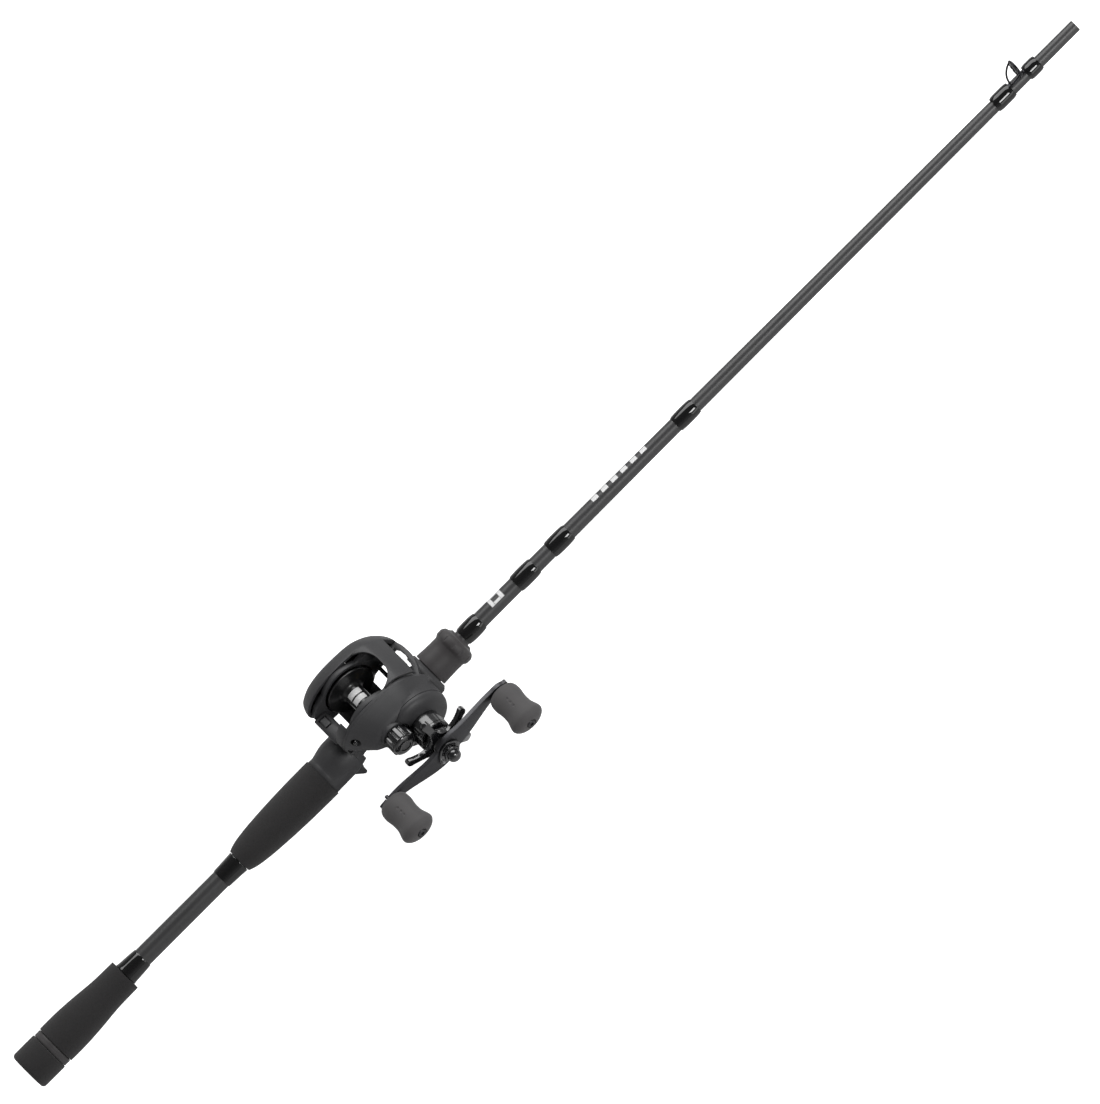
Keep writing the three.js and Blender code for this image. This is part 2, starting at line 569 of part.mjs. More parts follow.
// ---- Brake ----
function brakeDial() {
  const knurl = Array.from({ length: 32 }, (_, i) => {
    const a = (2 * Math.PI * i) / 32;
    const r = i % 2 ? 8.1 : 8.4;
    return [r * Math.cos(a), r * Math.sin(a)];
  });
  const cap = plate(knurl, 27.4, 30.2, 0.5);
  const arc = new THREE.Shape();
  arc.absarc(0, 0, 8.0, 2.96, 3.32, false);
  arc.absarc(0, 0, 7.2, 3.32, 2.96, true);
  const leg = new THREE.ExtrudeGeometry(arc, { depth: 10.4, bevelEnabled: false, curveSegments: 3 });
  const pointer = box(-0.6, 0.6, 29.9, 30.8, 1.5, 7);
  return carve(cap, { add: [leg.rotateX(Math.PI / 2).translate(0, 28, 0), pointer] });
}

// ---- Clutch: thumb bar, yoke and its posts and springs ----
function thumbBar() {
  const outline = smooth([[-28.4, 1.6], [-26, 2.5], [-22, 2.2], [-19.2, 0.6], [-19.4, -1.6], [-23.5, -2.2],
    [-27.8, -1.2]], 26);
  const bar = plate(outline, -7.9, PALM_WALL[0] - 0.4, 0.8);
  const tab = box(-25.4, -21.6, HANDLE_WALL[0] - 1.8, -7, -1.2, 0.6);
  return carve(bar, { add: [tab] });
}

function clutchYoke() {
  const bar = plate([[-9.6, -2.2], [9.6, -2.2], [9.6, 2.2], [3.6, 4.4], [-3.6, 4.4], [-9.6, 2.2]], -25.9, -24.9);
  const throat = plate([[-2.6, -9], [2.6, -9], [2.6, 0], [1.8, 1.9], [0, 2.6], [-1.8, 1.9], [-2.6, 0]], -28, -24);
  const holes = [-POST_REACH, POST_REACH].map((x) => disc(-28, -24, 1.35, 12).translate(x, 0, 0));
  return carve(bar, { cut: [throat, ...holes] }).rotateY(-YOKE_ANGLE);
}

function buildSpoolAndClutch() {
  addTo(reel, "spool", spoolBody(), GLOSS_BLACK);
  addTo(reel, "spool_shaft", spoolShaft(), STEEL);
  addTo(reel, "brake_dial", brakeDial(), GLOSS_BLACK);
  addTo(reel, "brake_magnet_ring", washer(15.5, 17.1, 12.2, 6.8, FINE), STEEL);
  addTo(reel, "tension_cap", tensionCap(), GLOSS_BLACK);
  addTo(reel, "thumb_bar", thumbBar(), MATTE);
  addTo(reel, "clutch_yoke", clutchYoke(), STEEL);
  addTo(reel, "pinion", pinion(), BRASS);
}

// The spool tension cap, fluted round its rim.
function tensionCap() {
  const flutes = 12;
  const rim = Array.from({ length: flutes * 2 }, (_, i) => {
    const a = (Math.PI * i) / flutes;
    const r = i % 2 ? 7.9 : 8.3;
    return [r * Math.cos(a), r * Math.sin(a)];
  });
  const body = plate(rim, -41, -32.6, 0);
  const dome = turned([[-40.5, 0], [-40.5, 7.8], [-41.6, 7.4], [-42.6, 5.6], [-42.6, 0]], FINE);
  return carve(body, { add: [dome], cut: [disc(-40.9, -30, 6.6, FINE)] });
}

const TOWARDS_PINION = Math.atan2(-CRANK_AXIS.z, -CRANK_AXIS.x);

function pinion() {
  const facing = TOWARDS_PINION + Math.PI;
  const teeth = plate(gearOutline(PINION_TEETH, GEAR_MODULE, facing + Math.PI / PINION_TEETH), -23.4, -16.5);
  const hub = turned([[-16.7, 0], [-16.7, 2.6], [HANDLE_WALL[1] - 0.2, 2.6], [HANDLE_WALL[1] - 0.2, 0]]);
  const tail = turned([
    [-27.6, 0], [-27.6, 3.2], [-26.4, 3.2], [-26.2, 2.1], [-24.6, 2.1], [-24.4, 3.0], [-23.2, 3.0], [-23.2, 0],
  ]);
  return carve(teeth, { add: [hub, tail], cut: [disc(-30, -10, SHAFT_RADIUS + GAP, 16)] });
}

// ---- Crank: everything here is placed from the crank's axis ----
const crank = new THREE.Group();
crank.position.set(CRANK_AXIS.x, 0, CRANK_AXIS.z);
reel.add(crank);

const SHAFT = 4.0; // radius of the crank's main shaft
const BORE = SHAFT + GAP;

// The crank's shaft with the anti-reverse ratchet fixed on it.
function mainShaft() {
  const shaft = turned([
    [-66.2, 0], [-66.2, 2.6], [-60.9, 2.6], [-60.9, SHAFT], [-15.6, SHAFT], [-15.6, 2.5], [-12.4, 2.5], [-12.4, 0],
  ]);
  const teeth = 10;
  const points = [];
  for (let i = 0; i < teeth; i++) {
    const a = (2 * Math.PI * i) / teeth;
    points.push([7.2 * Math.cos(a), 7.2 * Math.sin(a)], [9.0 * Math.cos(a + 0.5), 9.0 * Math.sin(a + 0.5)]);
  }
  return carve(shaft, { add: [plate(points, -19.2, -18.4)] });
}

function mainGear() {
  const toothed = plate(gearOutline(MAIN_TEETH, GEAR_MODULE, TOWARDS_PINION), -22.9, -19.6);
  return carve(toothed, { cut: [disc(-30, -10, BORE), disc(-30, -21.3, 12)] });
}

// The five-armed drag star: blades curved towards the reel, on a fluted hub.
function starDrag() {
  const arms = 5;
  const [hub, neck, tip] = [8.2, 8.9, 24.4];
  const points = [];
  for (let i = 0; i < arms; i++) {
    const mid = Math.PI / 2 + (2 * Math.PI * i) / arms;
    const at = (r, side) => [r * Math.cos(mid) - side * Math.sin(mid), r * Math.sin(mid) + side * Math.cos(mid)];
    points.push(at(neck, -3.6), at(tip - 6, -2.3), at(tip - 1.5, -2.7), at(tip, 0), at(tip - 1.5, 2.7),
      at(tip - 6, 2.3), at(neck, 3.6));
  }
  const blades = plate(points, -53.4, -50.7, 0.4);
  const position = blades.attributes.position;
  for (let i = 0; i < position.count; i++) {
    const reach = Math.max(0, Math.hypot(position.getX(i), position.getZ(i)) - hub) / (tip - hub);
    position.setY(i, position.getY(i) + 2.4 * reach * reach);
  }
  const boss = turned([[-47.4, 0], [-47.4, hub], [-50.5, hub + 0.6], [-52.4, 7.4], [-54.8, 6.2], [-54.8, 0]], FINE);
  return carve(blades, { add: [boss], cut: [disc(-60, -40, BORE)] });
}

// The crank arm's outline: two tapering blades, each set off to one side of the hub.
function armOutline() {
  const half = [
    [50.2, 0], [49, 3.2], [45.5, 4.8], [40, 5.0], [30, 6.3], [20, 8.0], [12, 9.3], [6, 10.0], [0, 9.2], [-5, 7.4],
    [-9, 4.8],
  ];
  const blade = half.concat(half.map(([x, z]) => [-x, -z]));
  return blade;
}

function handleArm() {
  const steps = 6;
  const sweep = (t) => ARM_SWEEP * t * t * (3 - 2 * t);
  const half = Array.from({ length: steps + 1 }, (_, i) => [9 + ((KNOB_REACH - 12) * i) / steps, sweep(i / steps)]);
  const line = [[-52, ARM_SWEEP], ...half.map(([x, y]) => [-x, y]).reverse(), ...half, [52, ARM_SWEEP]];
  const outer = line.map(([x, y]) => [x, y - 58.6]);
  const inner = line.map(([x, y]) => [x, y - 56.0]).reverse();
  const swept = solidOf(slab(shapeOf([...outer, ...inner]), -15, 15));
  const arm = geometryOf(swept.intersect(solidOf(plate(smooth(armOutline(), 40), -64, -48))));
  const posts = [-KNOB_REACH, KNOB_REACH].map((x) => disc(-70, -40, 1.5, 16).translate(x, 0, 0));
  return carve(arm, { cut: [disc(-64, -50, BORE), ...posts] });
}

function knob() {
  const profile = [
    [-55.5, 2.2], [-55.5, 6.2], [-57.2, 8.4], [-60.5, 9.6], [-64, 9.8], [-69, 9.1], [-74, 9.3], [-79, 10.7],
    [-82.2, 11.1], [-84.4, 9.6], [-86.2, 6.6], [-86.5, 4.4], [-86.5, 3.2], [-84.2, 3.2], [-84.2, 2.2],
  ];
  const made = turned(profile, FINE);
  const flat = 0.66;
  const position = made.attributes.position;
  for (let i = 0; i < position.count; i++) {
    const [x, z] = [position.getX(i), position.getZ(i)];
    const share = THREE.MathUtils.smoothstep(Math.hypot(x, z), 3.3, 7);
    position.setZ(i, z * (1 - (1 - flat) * share));
  }
  return made;
}

function buildCrank() {
  addTo(crank, "main_shaft", mainShaft(), STEEL);
  const cogPhase = Math.atan2(WORM_AXIS.z - CRANK_AXIS.z, WORM_AXIS.x - CRANK_AXIS.x);
  addTo(crank, "levelwind_cog", carve(plate(gearOutline(COG_TEETH, COG_MODULE, cogPhase), -17.9, -16.1), {
    cut: [disc(-30, -10, BORE)],
  }), CARBON);
  addTo(crank, "main_gear", mainGear(), BRASS);
  addTo(crank, "drag_washer", washer(-22.6, -21.6, 11.6, BORE, FINE), CARBON);
  addTo(crank, "pressure_plate", washer(-24.4, -22.9, 11.0, BORE, FINE), STEEL);
  addTo(crank, "clutch_sleeve", washer(-45.8, -24.7, 5.3, BORE), STEEL);
  addTo(crank, "one_way_bearing", washer(-43.2, -34.2, 8.3, 5.6), STEEL);
  addTo(crank, "drag_spring_washer", turned([[-46.1, BORE], [-46.5, BORE], [-47.1, 7.4], [-46.7, 7.4]]), STEEL);
  addTo(crank, "star_drag", starDrag(), GLOSS_BLACK);
  addTo(crank, "handle_arm", handleArm(), GUNMETAL);
  addTo(crank, "nut_retainer", nutRetainer(), GLOSS_BLACK);
  addTo(crank, "retainer_screw", screw(0.2, 1.2, 12), STEEL).position.set(-7.2, -59.9, -3.2);
  addTo(crank, "handle_nut", handleNut(), ANODISED);
  for (const [name, x] of [["rear", -KNOB_REACH], ["front", KNOB_REACH]]) {
    const bolt = [[-86.9, 0], [-86.9, 2.2], [-86.3, 2.8], [-84.5, 2.8], [-84.5, 1.8], [-55.6, 1.8], [-55.5, 1.2],
      [-51.2, 1.2], [-51.2, 0]];
    addTo(crank, "knob_post_" + name, turned(bolt, 16), STEEL).position.x = x;
    addTo(crank, "knob_" + name, knob(), RUBBER).position.x = x;
  }
}

// The plate that stops the crank's nut from turning.
function nutRetainer() {
  const outline = smooth([
    [-9.2, -3.2], [-7.2, -5.6], [0, -7.2], [5, -5.4], [7.6, 0], [5, 5.6], [0, 7.4], [-5.4, 4.4],
  ], 32);
  return carve(plate(outline, -60.1, -58.9, 0.3), {
    cut: [disc(-62, -57, BORE + 0.1), disc(-62, -57, 1.3, 12).translate(-7.2, 0, -3.2)],
  });
}

function handleNut() {
  const hex = plate(circle(5.6, 6), -63.2, -61.2, 0.3);
  const dome = turned([
    [-62, 0], [-62, 4.2], [-64.5, 4.3], [-66, 3.9], [-67.2, 2.8], [-67.8, 1.2], [-67.9, 0],
  ]);
  return carve(hex, { add: [dome], cut: [disc(-66.5, -60, 2.9, 16)] });
}

// ---- Level wind: worm, tube, carriage and line eye, placed from the spool's axis ----
function lineCarriage() {
  const { x, z } = WORM_AXIS;
  const side = [[22.7, -5.5], [22.6, 0], [25, 2.2], [30, 2.6], [31.4, 5.6], [34, 5.6], [34, -3.8], [32.3, -3.95],
    [31.9, -5.5], [31, -8], [24, -8.2]];
  const body = plate(side, CARRIAGE_MIDDLE - 2.4, CARRIAGE_MIDDLE + 2.4, 0.3);
  const tubeRoom = disc(-6, 6, 4.3).translate(x, 0, z);
  const eye = box(30, 36, CARRIAGE_MIDDLE - 1.4, CARRIAGE_MIDDLE + 1.4, 1.6, 4.4);
  const pawl = box(x - 0.5, x + 0.5, CARRIAGE_MIDDLE - 1.2, CARRIAGE_MIDDLE + 1.2, z - 5, z - 3);
  return carve(carve(body, { cut: [tubeRoom, eye] }), { add: [pawl] });
}

function wormTube() {
  const { x, z } = WORM_AXIS;
  const tube = washer(HANDLE_WALL[1] + 0.3, PALM_WALL[0] - 0.3, 3.9, 3.0).translate(x, 0, z);
  const pawlSlot = box(x - 0.9, x + 0.9, -10.7, 12, z - 5, z - 2);
  return carve(tube, { cut: [pawlSlot] });
}

function buildLevelWind() {
  const { x, z } = WORM_AXIS;
  const wormPhase = Math.atan2(CRANK_AXIS.z - z, CRANK_AXIS.x - x) + Math.PI / WORM_GEAR_TEETH;
  addTo(reel, "worm_tube", wormTube(), CARBON);
  addTo(reel, "worm_shaft", turned([[-18.2, 0], [-18.2, 1.6], [-15.3, 1.6], [-15.1, 1.9], [-11, 1.9], [-10.8, 2.6],
    [12, 2.6], [12.2, 1.9], [14.8, 1.9], [14.8, 0]], 16), STEEL).position.set(x, 0, z);
  addTo(reel, "worm_gear", carve(plate(gearOutline(WORM_GEAR_TEETH, COG_MODULE, wormPhase), -17.9, -16.1), {
    cut: [disc(-30, -10, 1.9, 16)],
  }), CARBON).position.set(x, 0, z);
  addTo(reel, "line_carriage", lineCarriage(), MATTE);
}

buildRod();
buildSeatAndGuide();
buildReelBody();
buildSpoolAndClutch();
buildCrank();
buildLevelWind();

export default root;
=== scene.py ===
"""A casting rod's handle section with a low-profile baitcasting reel: its pieces, finishes, light and camera.

Lengths in the code are millimetres until a mesh is made, and +X runs along the rod towards its tip.
"""

import json
import logging
import math
from dataclasses import dataclass, field
from enum import Enum

import bpy
from mathutils import Matrix, Vector

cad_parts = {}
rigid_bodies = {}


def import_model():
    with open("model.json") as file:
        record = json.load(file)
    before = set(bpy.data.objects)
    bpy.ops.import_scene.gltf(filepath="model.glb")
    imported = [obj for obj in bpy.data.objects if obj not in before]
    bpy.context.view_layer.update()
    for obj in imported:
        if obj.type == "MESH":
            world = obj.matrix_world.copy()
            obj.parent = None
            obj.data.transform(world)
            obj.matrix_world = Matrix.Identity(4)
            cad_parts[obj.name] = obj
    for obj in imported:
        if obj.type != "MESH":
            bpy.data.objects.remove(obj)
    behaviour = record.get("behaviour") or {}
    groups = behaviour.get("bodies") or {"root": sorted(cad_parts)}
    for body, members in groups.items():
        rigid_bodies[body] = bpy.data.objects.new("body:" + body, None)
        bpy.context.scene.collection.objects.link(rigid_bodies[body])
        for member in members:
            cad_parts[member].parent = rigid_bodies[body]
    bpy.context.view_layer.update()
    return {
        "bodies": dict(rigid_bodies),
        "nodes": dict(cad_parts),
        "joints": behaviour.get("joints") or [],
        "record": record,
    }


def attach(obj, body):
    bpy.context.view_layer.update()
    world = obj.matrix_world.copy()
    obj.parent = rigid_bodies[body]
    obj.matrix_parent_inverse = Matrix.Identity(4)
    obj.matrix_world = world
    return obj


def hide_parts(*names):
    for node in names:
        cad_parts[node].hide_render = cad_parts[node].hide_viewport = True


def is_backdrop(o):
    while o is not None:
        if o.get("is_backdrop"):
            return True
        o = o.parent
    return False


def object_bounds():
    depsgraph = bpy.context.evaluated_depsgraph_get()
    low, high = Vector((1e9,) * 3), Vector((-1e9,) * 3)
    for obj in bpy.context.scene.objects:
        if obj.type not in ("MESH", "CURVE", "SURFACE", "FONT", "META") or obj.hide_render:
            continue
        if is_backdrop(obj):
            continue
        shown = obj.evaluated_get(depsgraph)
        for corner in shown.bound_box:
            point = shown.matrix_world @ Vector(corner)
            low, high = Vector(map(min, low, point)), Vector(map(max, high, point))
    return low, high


MM = 0.001
SEEN_FROM = 58.0  # how far the camera looks down, in degrees
GAP = 0.3  # between pieces that touch
LOG = logging.getLogger("rod_and_reel")

Point2 = tuple[float, float]
Point3 = tuple[float, float, float]


class Axis(Enum):
    """The direction a turned piece's axis runs in."""

    ROD = (1.0, 0.0, 0.0)
    REEL = (0.0, 1.0, 0.0)


class Body(Enum):
    """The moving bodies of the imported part."""

    ROD = "rod"
    SPOOL = "spool"
    CRANK = "crank"
    STAR = "star_drag"
    KNOB_REAR = "knob_rear"
    KNOB_FRONT = "knob_front"
    THUMB_BAR = "thumb_bar"
    TENSION_CAP = "tension_cap"
    BRAKE_DIAL = "brake_dial"
    CLAMP_HOOD = "clamp_hood"
    LOCK_NUT = "lock_nut"
    CARRIAGE = "line_carriage"


SPOOL_AXIS: Point3 = (292.0, 0.0, 28.0)
CRANK_AXIS: Point3 = (308.0, 0.0, 18.0)
GUIDE_RING: Point3 = (823.0, 0.0, 13.0)
BLANK_TAPER: list[Point2] = [
    (2.3, 6.1), (160, 6.0), (385, 5.2), (560, 4.55), (700, 4.15), (866.6, 3.8),
]


# ---------------------------------------------------------------- making meshes


def clear_selection() -> None:
    """Leaves edit mode and deselects every object."""
    if bpy.context.mode != "OBJECT":
        bpy.ops.object.mode_set(mode="OBJECT")
    bpy.ops.object.select_all(action="DESELECT")


def pick(obj: bpy.types.Object) -> None:
    """Makes obj the only selected object, and the active one."""
    clear_selection()
    obj.select_set(True)
    bpy.context.view_layer.objects.active = obj


def chain(name: str, points: list[Point3]) -> bpy.types.Object:
    """Draws a line of edges through points, from a vertex extruded point by point.

    Args:
        name: the new object's name.
        points: the points in millimetres.

    Returns:
        The object, left in edit mode with its last vertex selected.
    """
    clear_selection()
    bpy.ops.mesh.primitive_plane_add(size=MM, location=(0, 0, 0))
    obj = bpy.context.object
    obj.name = name
    obj.data.name = name
    bpy.ops.object.mode_set(mode="EDIT")
    bpy.ops.mesh.select_all(action="SELECT")
    bpy.ops.mesh.merge(type="CENTER")
    bpy.ops.transform.translate(value=Vector(points[0]) * MM)
    for start, end in zip(points, points[1:]):
        step = (Vector(end) - Vector(start)) * MM
        bpy.ops.mesh.extrude_vertices_move(TRANSFORM_OT_translate={"value": step})
    return obj


def tidy_mesh(obj: bpy.types.Object, gap: float = 0.002) -> bpy.types.Object:
    """Merges doubled points, turns every face outwards and leaves edit mode."""
    if bpy.context.mode != "EDIT_MESH":
        pick(obj)
        bpy.ops.object.mode_set(mode="EDIT")
    bpy.ops.mesh.select_all(action="SELECT")
    bpy.ops.mesh.remove_doubles(threshold=gap * MM)
    bpy.ops.mesh.normals_make_consistent(inside=False)
    bpy.ops.object.mode_set(mode="OBJECT")
    return obj


def turned(
    name: str,
    profile: list[Point2],
    axis: Axis,
    centre: Point3 = (0.0, 0.0, 0.0),
    sides: int = 64,
) -> bpy.types.Object:
    """Turns a profile about an axis, as on a lathe.

    Args:
        name: the new object's name.
        profile: [along, radius] points; one that starts off the axis is closed on itself.
        axis: the direction of the turning axis.
        centre: a point on that axis.
        sides: how many steps make the full turn.

    Returns:
        The closed mesh object.
    """
    loop = profile if profile[0][1] == 0 else [*profile, profile[0]]
    cx, cy, cz = centre
    along_rod = axis is Axis.ROD
    points = [(cx + a, cy, cz + r) if along_rod else (cx, cy + a, cz + r) for a, r in loop]
    obj = chain(name, points)
    bpy.ops.mesh.select_all(action="SELECT")
    bpy.ops.mesh.spin(steps=sides, angle=2 * math.pi, center=Vector(centre) * MM, axis=axis.value)
    return tidy_mesh(obj)


def outline_face(name: str, points: list[Point3]) -> bpy.types.Object:
    """Draws a closed outline and fills it, leaving its face selected in edit mode."""
    obj = chain(name, [*points, points[0]])
    bpy.ops.mesh.select_all(action="SELECT")
    bpy.ops.mesh.remove_doubles(threshold=0.002 * MM)
    bpy.ops.mesh.edge_face_add()
    return obj


def extrude_by(step: Point3) -> None:
    """Extrudes the selected faces by a step in millimetres."""
    bpy.ops.mesh.extrude_region_move(TRANSFORM_OT_translate={"value": Vector(step) * MM})


def plate(name: str, outline: list[Point2], y0: float, y1: float) -> bpy.types.Object:
    """Extrudes an outline in X and Z from y0 to y1."""
    obj = outline_face(name, [(x, y0, z) for x, z in outline])
    extrude_by((0, y1 - y0, 0))
    return tidy_mesh(obj)


def slab(name: str, outline: list[Point2], z0: float, z1: float) -> bpy.types.Object:
    """Extrudes an outline in X and Y from z0 to z1."""
    obj = outline_face(name, [(x, y, z0) for x, y in outline])
    extrude_by((0, 0, z1 - z0))
    return tidy_mesh(obj)


@dataclass(frozen=True)
class Station:
    """Where a loft's section lies along Y, and its scale there."""

    y: float
    across: float
    up: float


def lofted(
    name: str, outline: list[Point2], stations: list[Station], about: Point2
) -> bpy.types.Object:
    """Extrudes an outline along Y in steps, scaling it at each one.

    Args:
        name: the new object's name.
        outline: the section in X and Z at full size.
        stations: the sections' places and scales.
        about: the point in X and Z that the sections shrink towards.

    Returns:
        The closed mesh object.
    """
    ax, az = about
    first = stations[0]
    start = [(ax + (x - ax) * first.across, first.y, az + (z - az) * first.up) for x, z in outline]
    obj = outline_face(name, start)
    for last, here in zip(stations, stations[1:]):
        extrude_by((0, here.y - last.y, 0))
        bpy.ops.transform.resize(
            value=(here.across / last.across, 1, here.up / last.up),
            center_override=Vector((ax, here.y, az)) * MM,
        )
    return tidy_mesh(obj)


def rod_of(name: str, points: list[Point3], radius: float, smooth_steps: int = 8) -> bpy.types.Object:
    """Bends a round wire through points, with rounded ends of its path."""
    clear_selection()
    bpy.ops.curve.primitive_nurbs_path_add(radius=MM)
    obj = bpy.context.object
    obj.name = name
    curve = obj.data
    spline = curve.splines[0]
    spline.points.add(max(0, len(points) - len(spline.points)))
    while len(spline.points) > len(points):
        curve.splines.remove(spline)
        spline = curve.splines.new("NURBS")
        spline.points.add(len(points) - 1)
    for point, place in zip(spline.points, points):
        point.co = (*(Vector(place) * MM), 1.0)
    spline.order_u = min(4, len(points))
    spline.use_endpoint_u = True
    spline.resolution_u = smooth_steps
    curve.bevel_depth = radius * MM
    curve.bevel_resolution = 4
    curve.use_fill_caps = True
    bpy.ops.object.convert(target="MESH")
    settle(obj)
    return tidy_mesh(obj)


def merged(name: str, pieces: list[bpy.types.Object]) -> bpy.types.Object:
    """Makes several pieces one object, without joining their surfaces, under a new name."""
    clear_selection()
    for piece in pieces:
        piece.select_set(True)
    bpy.context.view_layer.objects.active = pieces[0]
    if len(pieces) > 1:
        bpy.ops.object.join()
    pieces[0].name = name
    return pieces[0]


def settle(obj: bpy.types.Object) -> None:
    """Moves the object's place, turn and size into its mesh."""
    pick(obj)
    bpy.ops.object.transform_apply(location=True, rotation=True, scale=True)


def combine(target: bpy.types.Object, tool: bpy.types.Object, operation: str) -> bpy.types.Object:
    """Applies a boolean between two solids and removes the tool.

    Args:
        target: the piece that is kept.
        tool: the piece that joins, cuts or meets it.
        operation: UNION, DIFFERENCE or INTERSECT.

    Returns:
        The changed target.
    """
    pick(target)
    modifier = target.modifiers.new("combine", "BOOLEAN")
    modifier.operation = operation
    modifier.solver = "EXACT"
    modifier.object = tool
    bpy.ops.object.modifier_apply(modifier=modifier.name)
    bpy.data.objects.remove(tool)
    return tidy_mesh(target, 0.01)


def join(target: bpy.types.Object, *others: bpy.types.Object) -> bpy.types.Object:
    """Adds each solid to the target."""
    for other in others:
        combine(target, other, "UNION")
    return target


def cut(target: bpy.types.Object, *tools: bpy.types.Object) -> bpy.types.Object:
    """Takes each solid out of the target."""
    for tool in tools:
        combine(target, tool, "DIFFERENCE")
    return target


def soften(
    obj: bpy.types.Object, width: float, segments: int = 3, angle: float = 32.0
) -> bpy.types.Object:
    """Rounds the edges sharper than an angle and shades the rest smooth.

    Args:
        obj: the piece.
        width: the bevel's width in millimetres, or 0 for none.
        segments: the bevel's steps.
        angle: the least edge angle, in degrees, that is rounded or kept crisp.

    Returns:
        The same piece.
    """
    pick(obj)
    if width > 0:
        bevel = obj.modifiers.new("edges", "BEVEL")
        bevel.width = width * MM
        bevel.segments = segments
        bevel.limit_method = "ANGLE"
        bevel.angle_limit = math.radians(angle)
        bevel.miter_outer = "MITER_ARC"
        bpy.ops.object.modifier_apply(modifier=bevel.name)
    bpy.ops.object.shade_smooth_by_angle(angle=math.radians(angle))
    return obj


def block(name: str, low: Point3, high: Point3) -> bpy.types.Object:
    """A box between two corners, used as a cutting tool."""
    clear_selection()
    middle = (Vector(low) + Vector(high)) / 2 * MM
    bpy.ops.mesh.primitive_cube_add(size=1, location=middle)
    obj = bpy.context.object
    obj.name = name
    obj.scale = (Vector(high) - Vector(low)) * MM
    settle(obj)
    return obj


def drill(y0: float, y1: float, radius: float, centre: Point3, sides: int = 48) -> bpy.types.Object:
    """A round tool along Y."""
    return turned("drill", [(y0, 0), (y0, radius), (y1, radius), (y1, 0)], Axis.REEL, centre, sides)


def copied(node: bpy.types.Object, name: str) -> bpy.types.Object:
    """A new piece from a frame node's own shape, with its loose triangles merged and its flats joined."""
    obj = bpy.data.objects.new(name, node.data.copy())
    obj.data.materials.clear()
    bpy.context.scene.collection.objects.link(obj)
    pick(obj)
    bpy.ops.object.mode_set(mode="EDIT")
    bpy.ops.mesh.select_all(action="SELECT")
    bpy.ops.mesh.customdata_custom_splitnormals_clear()
    bpy.ops.mesh.remove_doubles(threshold=0.004 * MM)
    bpy.ops.mesh.dissolve_limited(angle_limit=math.radians(0.6))
    bpy.ops.object.mode_set(mode="OBJECT")
    return obj


def blend_curve(points: list[Point2], steps: int = 4, closed: bool = False) -> list[Point2]:
    """Adds points between those given, on a smooth curve through them all.

    Args:
        points: the points that the curve runs through.
        steps: how many points replace each one.
        closed: whether the last point leads back to the first.

    Returns:
        The points of the smooth curve.
    """
    count = len(points)
    out: list[Point2] = []

    def neighbour(index: int) -> Vector:
        """The point at an index, wrapped round a closed curve or held at an open one's ends."""
        return Vector(points[index % count] if closed else points[max(0, min(count - 1, index))])

    for i in range(count if closed else count - 1):
        p0, p1, p2, p3 = (neighbour(i + k) for k in (-1, 0, 1, 2))
        for s in range(steps):
            t = s / steps
            value = 0.5 * (
                2 * p1 + (p2 - p0) * t + (2 * p0 - 5 * p1 + 4 * p2 - p3) * t * t
                + (3 * p1 - p0 - 3 * p2 + p3) * t * t * t
            )
            out.append((value.x, value.y))
    if not closed:
        out.append(points[-1])
    return out


def blank_radius(x: float) -> float:
    """The blank's outside radius at a distance from the butt."""
    for (x0, r0), (x1, r1) in zip(BLANK_TAPER, BLANK_TAPER[1:]):
        if x <= x1:
            return r0 + (r1 - r0) * max(0.0, x - x0) / (x1 - x0)
    return BLANK_TAPER[-1][1]


# ---------------------------------------------------------------- finishes

Tree = bpy.types.NodeTree


def group_of(name: str, inputs: dict[str, tuple[str, float]], outputs: dict[str, str]) -> Tree:
    """Starts a shader node group with named sockets.

    Args:
        name: the group's name.
        inputs: socket name to its type and default value.
        outputs: socket name to its type.

    Returns:
        The new node tree, holding its input and output nodes.
    """
    tree = bpy.data.node_groups.new(name, "ShaderNodeTree")
    for label, (kind, default) in inputs.items():
        socket = tree.interface.new_socket(label, in_out="INPUT", socket_type=kind)
        socket.default_value = default
    for label, kind in outputs.items():
        tree.interface.new_socket(label, in_out="OUTPUT", socket_type=kind)
    tree.nodes.new("NodeGroupInput").name = "in"
    tree.nodes.new("NodeGroupOutput").name = "out"
    return tree


def node(tree: Tree, kind: str, settings: dict | None = None, **inputs: object) -> bpy.types.Node:
    """Adds a shader node, with its properties and its inputs set or linked.

    Args:
        tree: the tree to add to.
        kind: the node's type name without the ShaderNode prefix.
        settings: the node's properties.
        inputs: socket names, with _ for a space, or i0, i1... by number, to a value or an output socket.

    Returns:
        The node.
    """
    made = tree.nodes.new("ShaderNode" + kind)
    for key, value in (settings or {}).items():
        setattr(made, key, value)
    for key, value in inputs.items():
        numbered = key[0] == "i" and key[1:].isdigit()
        socket = made.inputs[int(key[1:]) if numbered else key.replace("_", " ")]
        if isinstance(value, bpy.types.NodeSocket):
            tree.links.new(value, socket)
        else:
            socket.default_value = value
    return made


def maths(tree: Tree, operation: str, a: object, b: object = 0.0, c: object = 0.0) -> bpy.types.NodeSocket:
    """Adds a Math node and returns its result."""
    return node(tree, "Math", {"operation": operation}, i0=a, i1=b, i2=c).outputs[0]


def mixed(tree: Tree, factor: object, a: object, b: object) -> bpy.types.NodeSocket:
    """Mixes two colours by a factor."""
    made = tree.nodes.new("ShaderNodeMix")
    made.data_type = "RGBA"
    for socket, value in ((made.inputs[0], factor), (made.inputs[6], a), (made.inputs[7], b)):
        if isinstance(value, bpy.types.NodeSocket):
            tree.links.new(value, socket)
        else:
            socket.default_value = value
    return made.outputs[2]


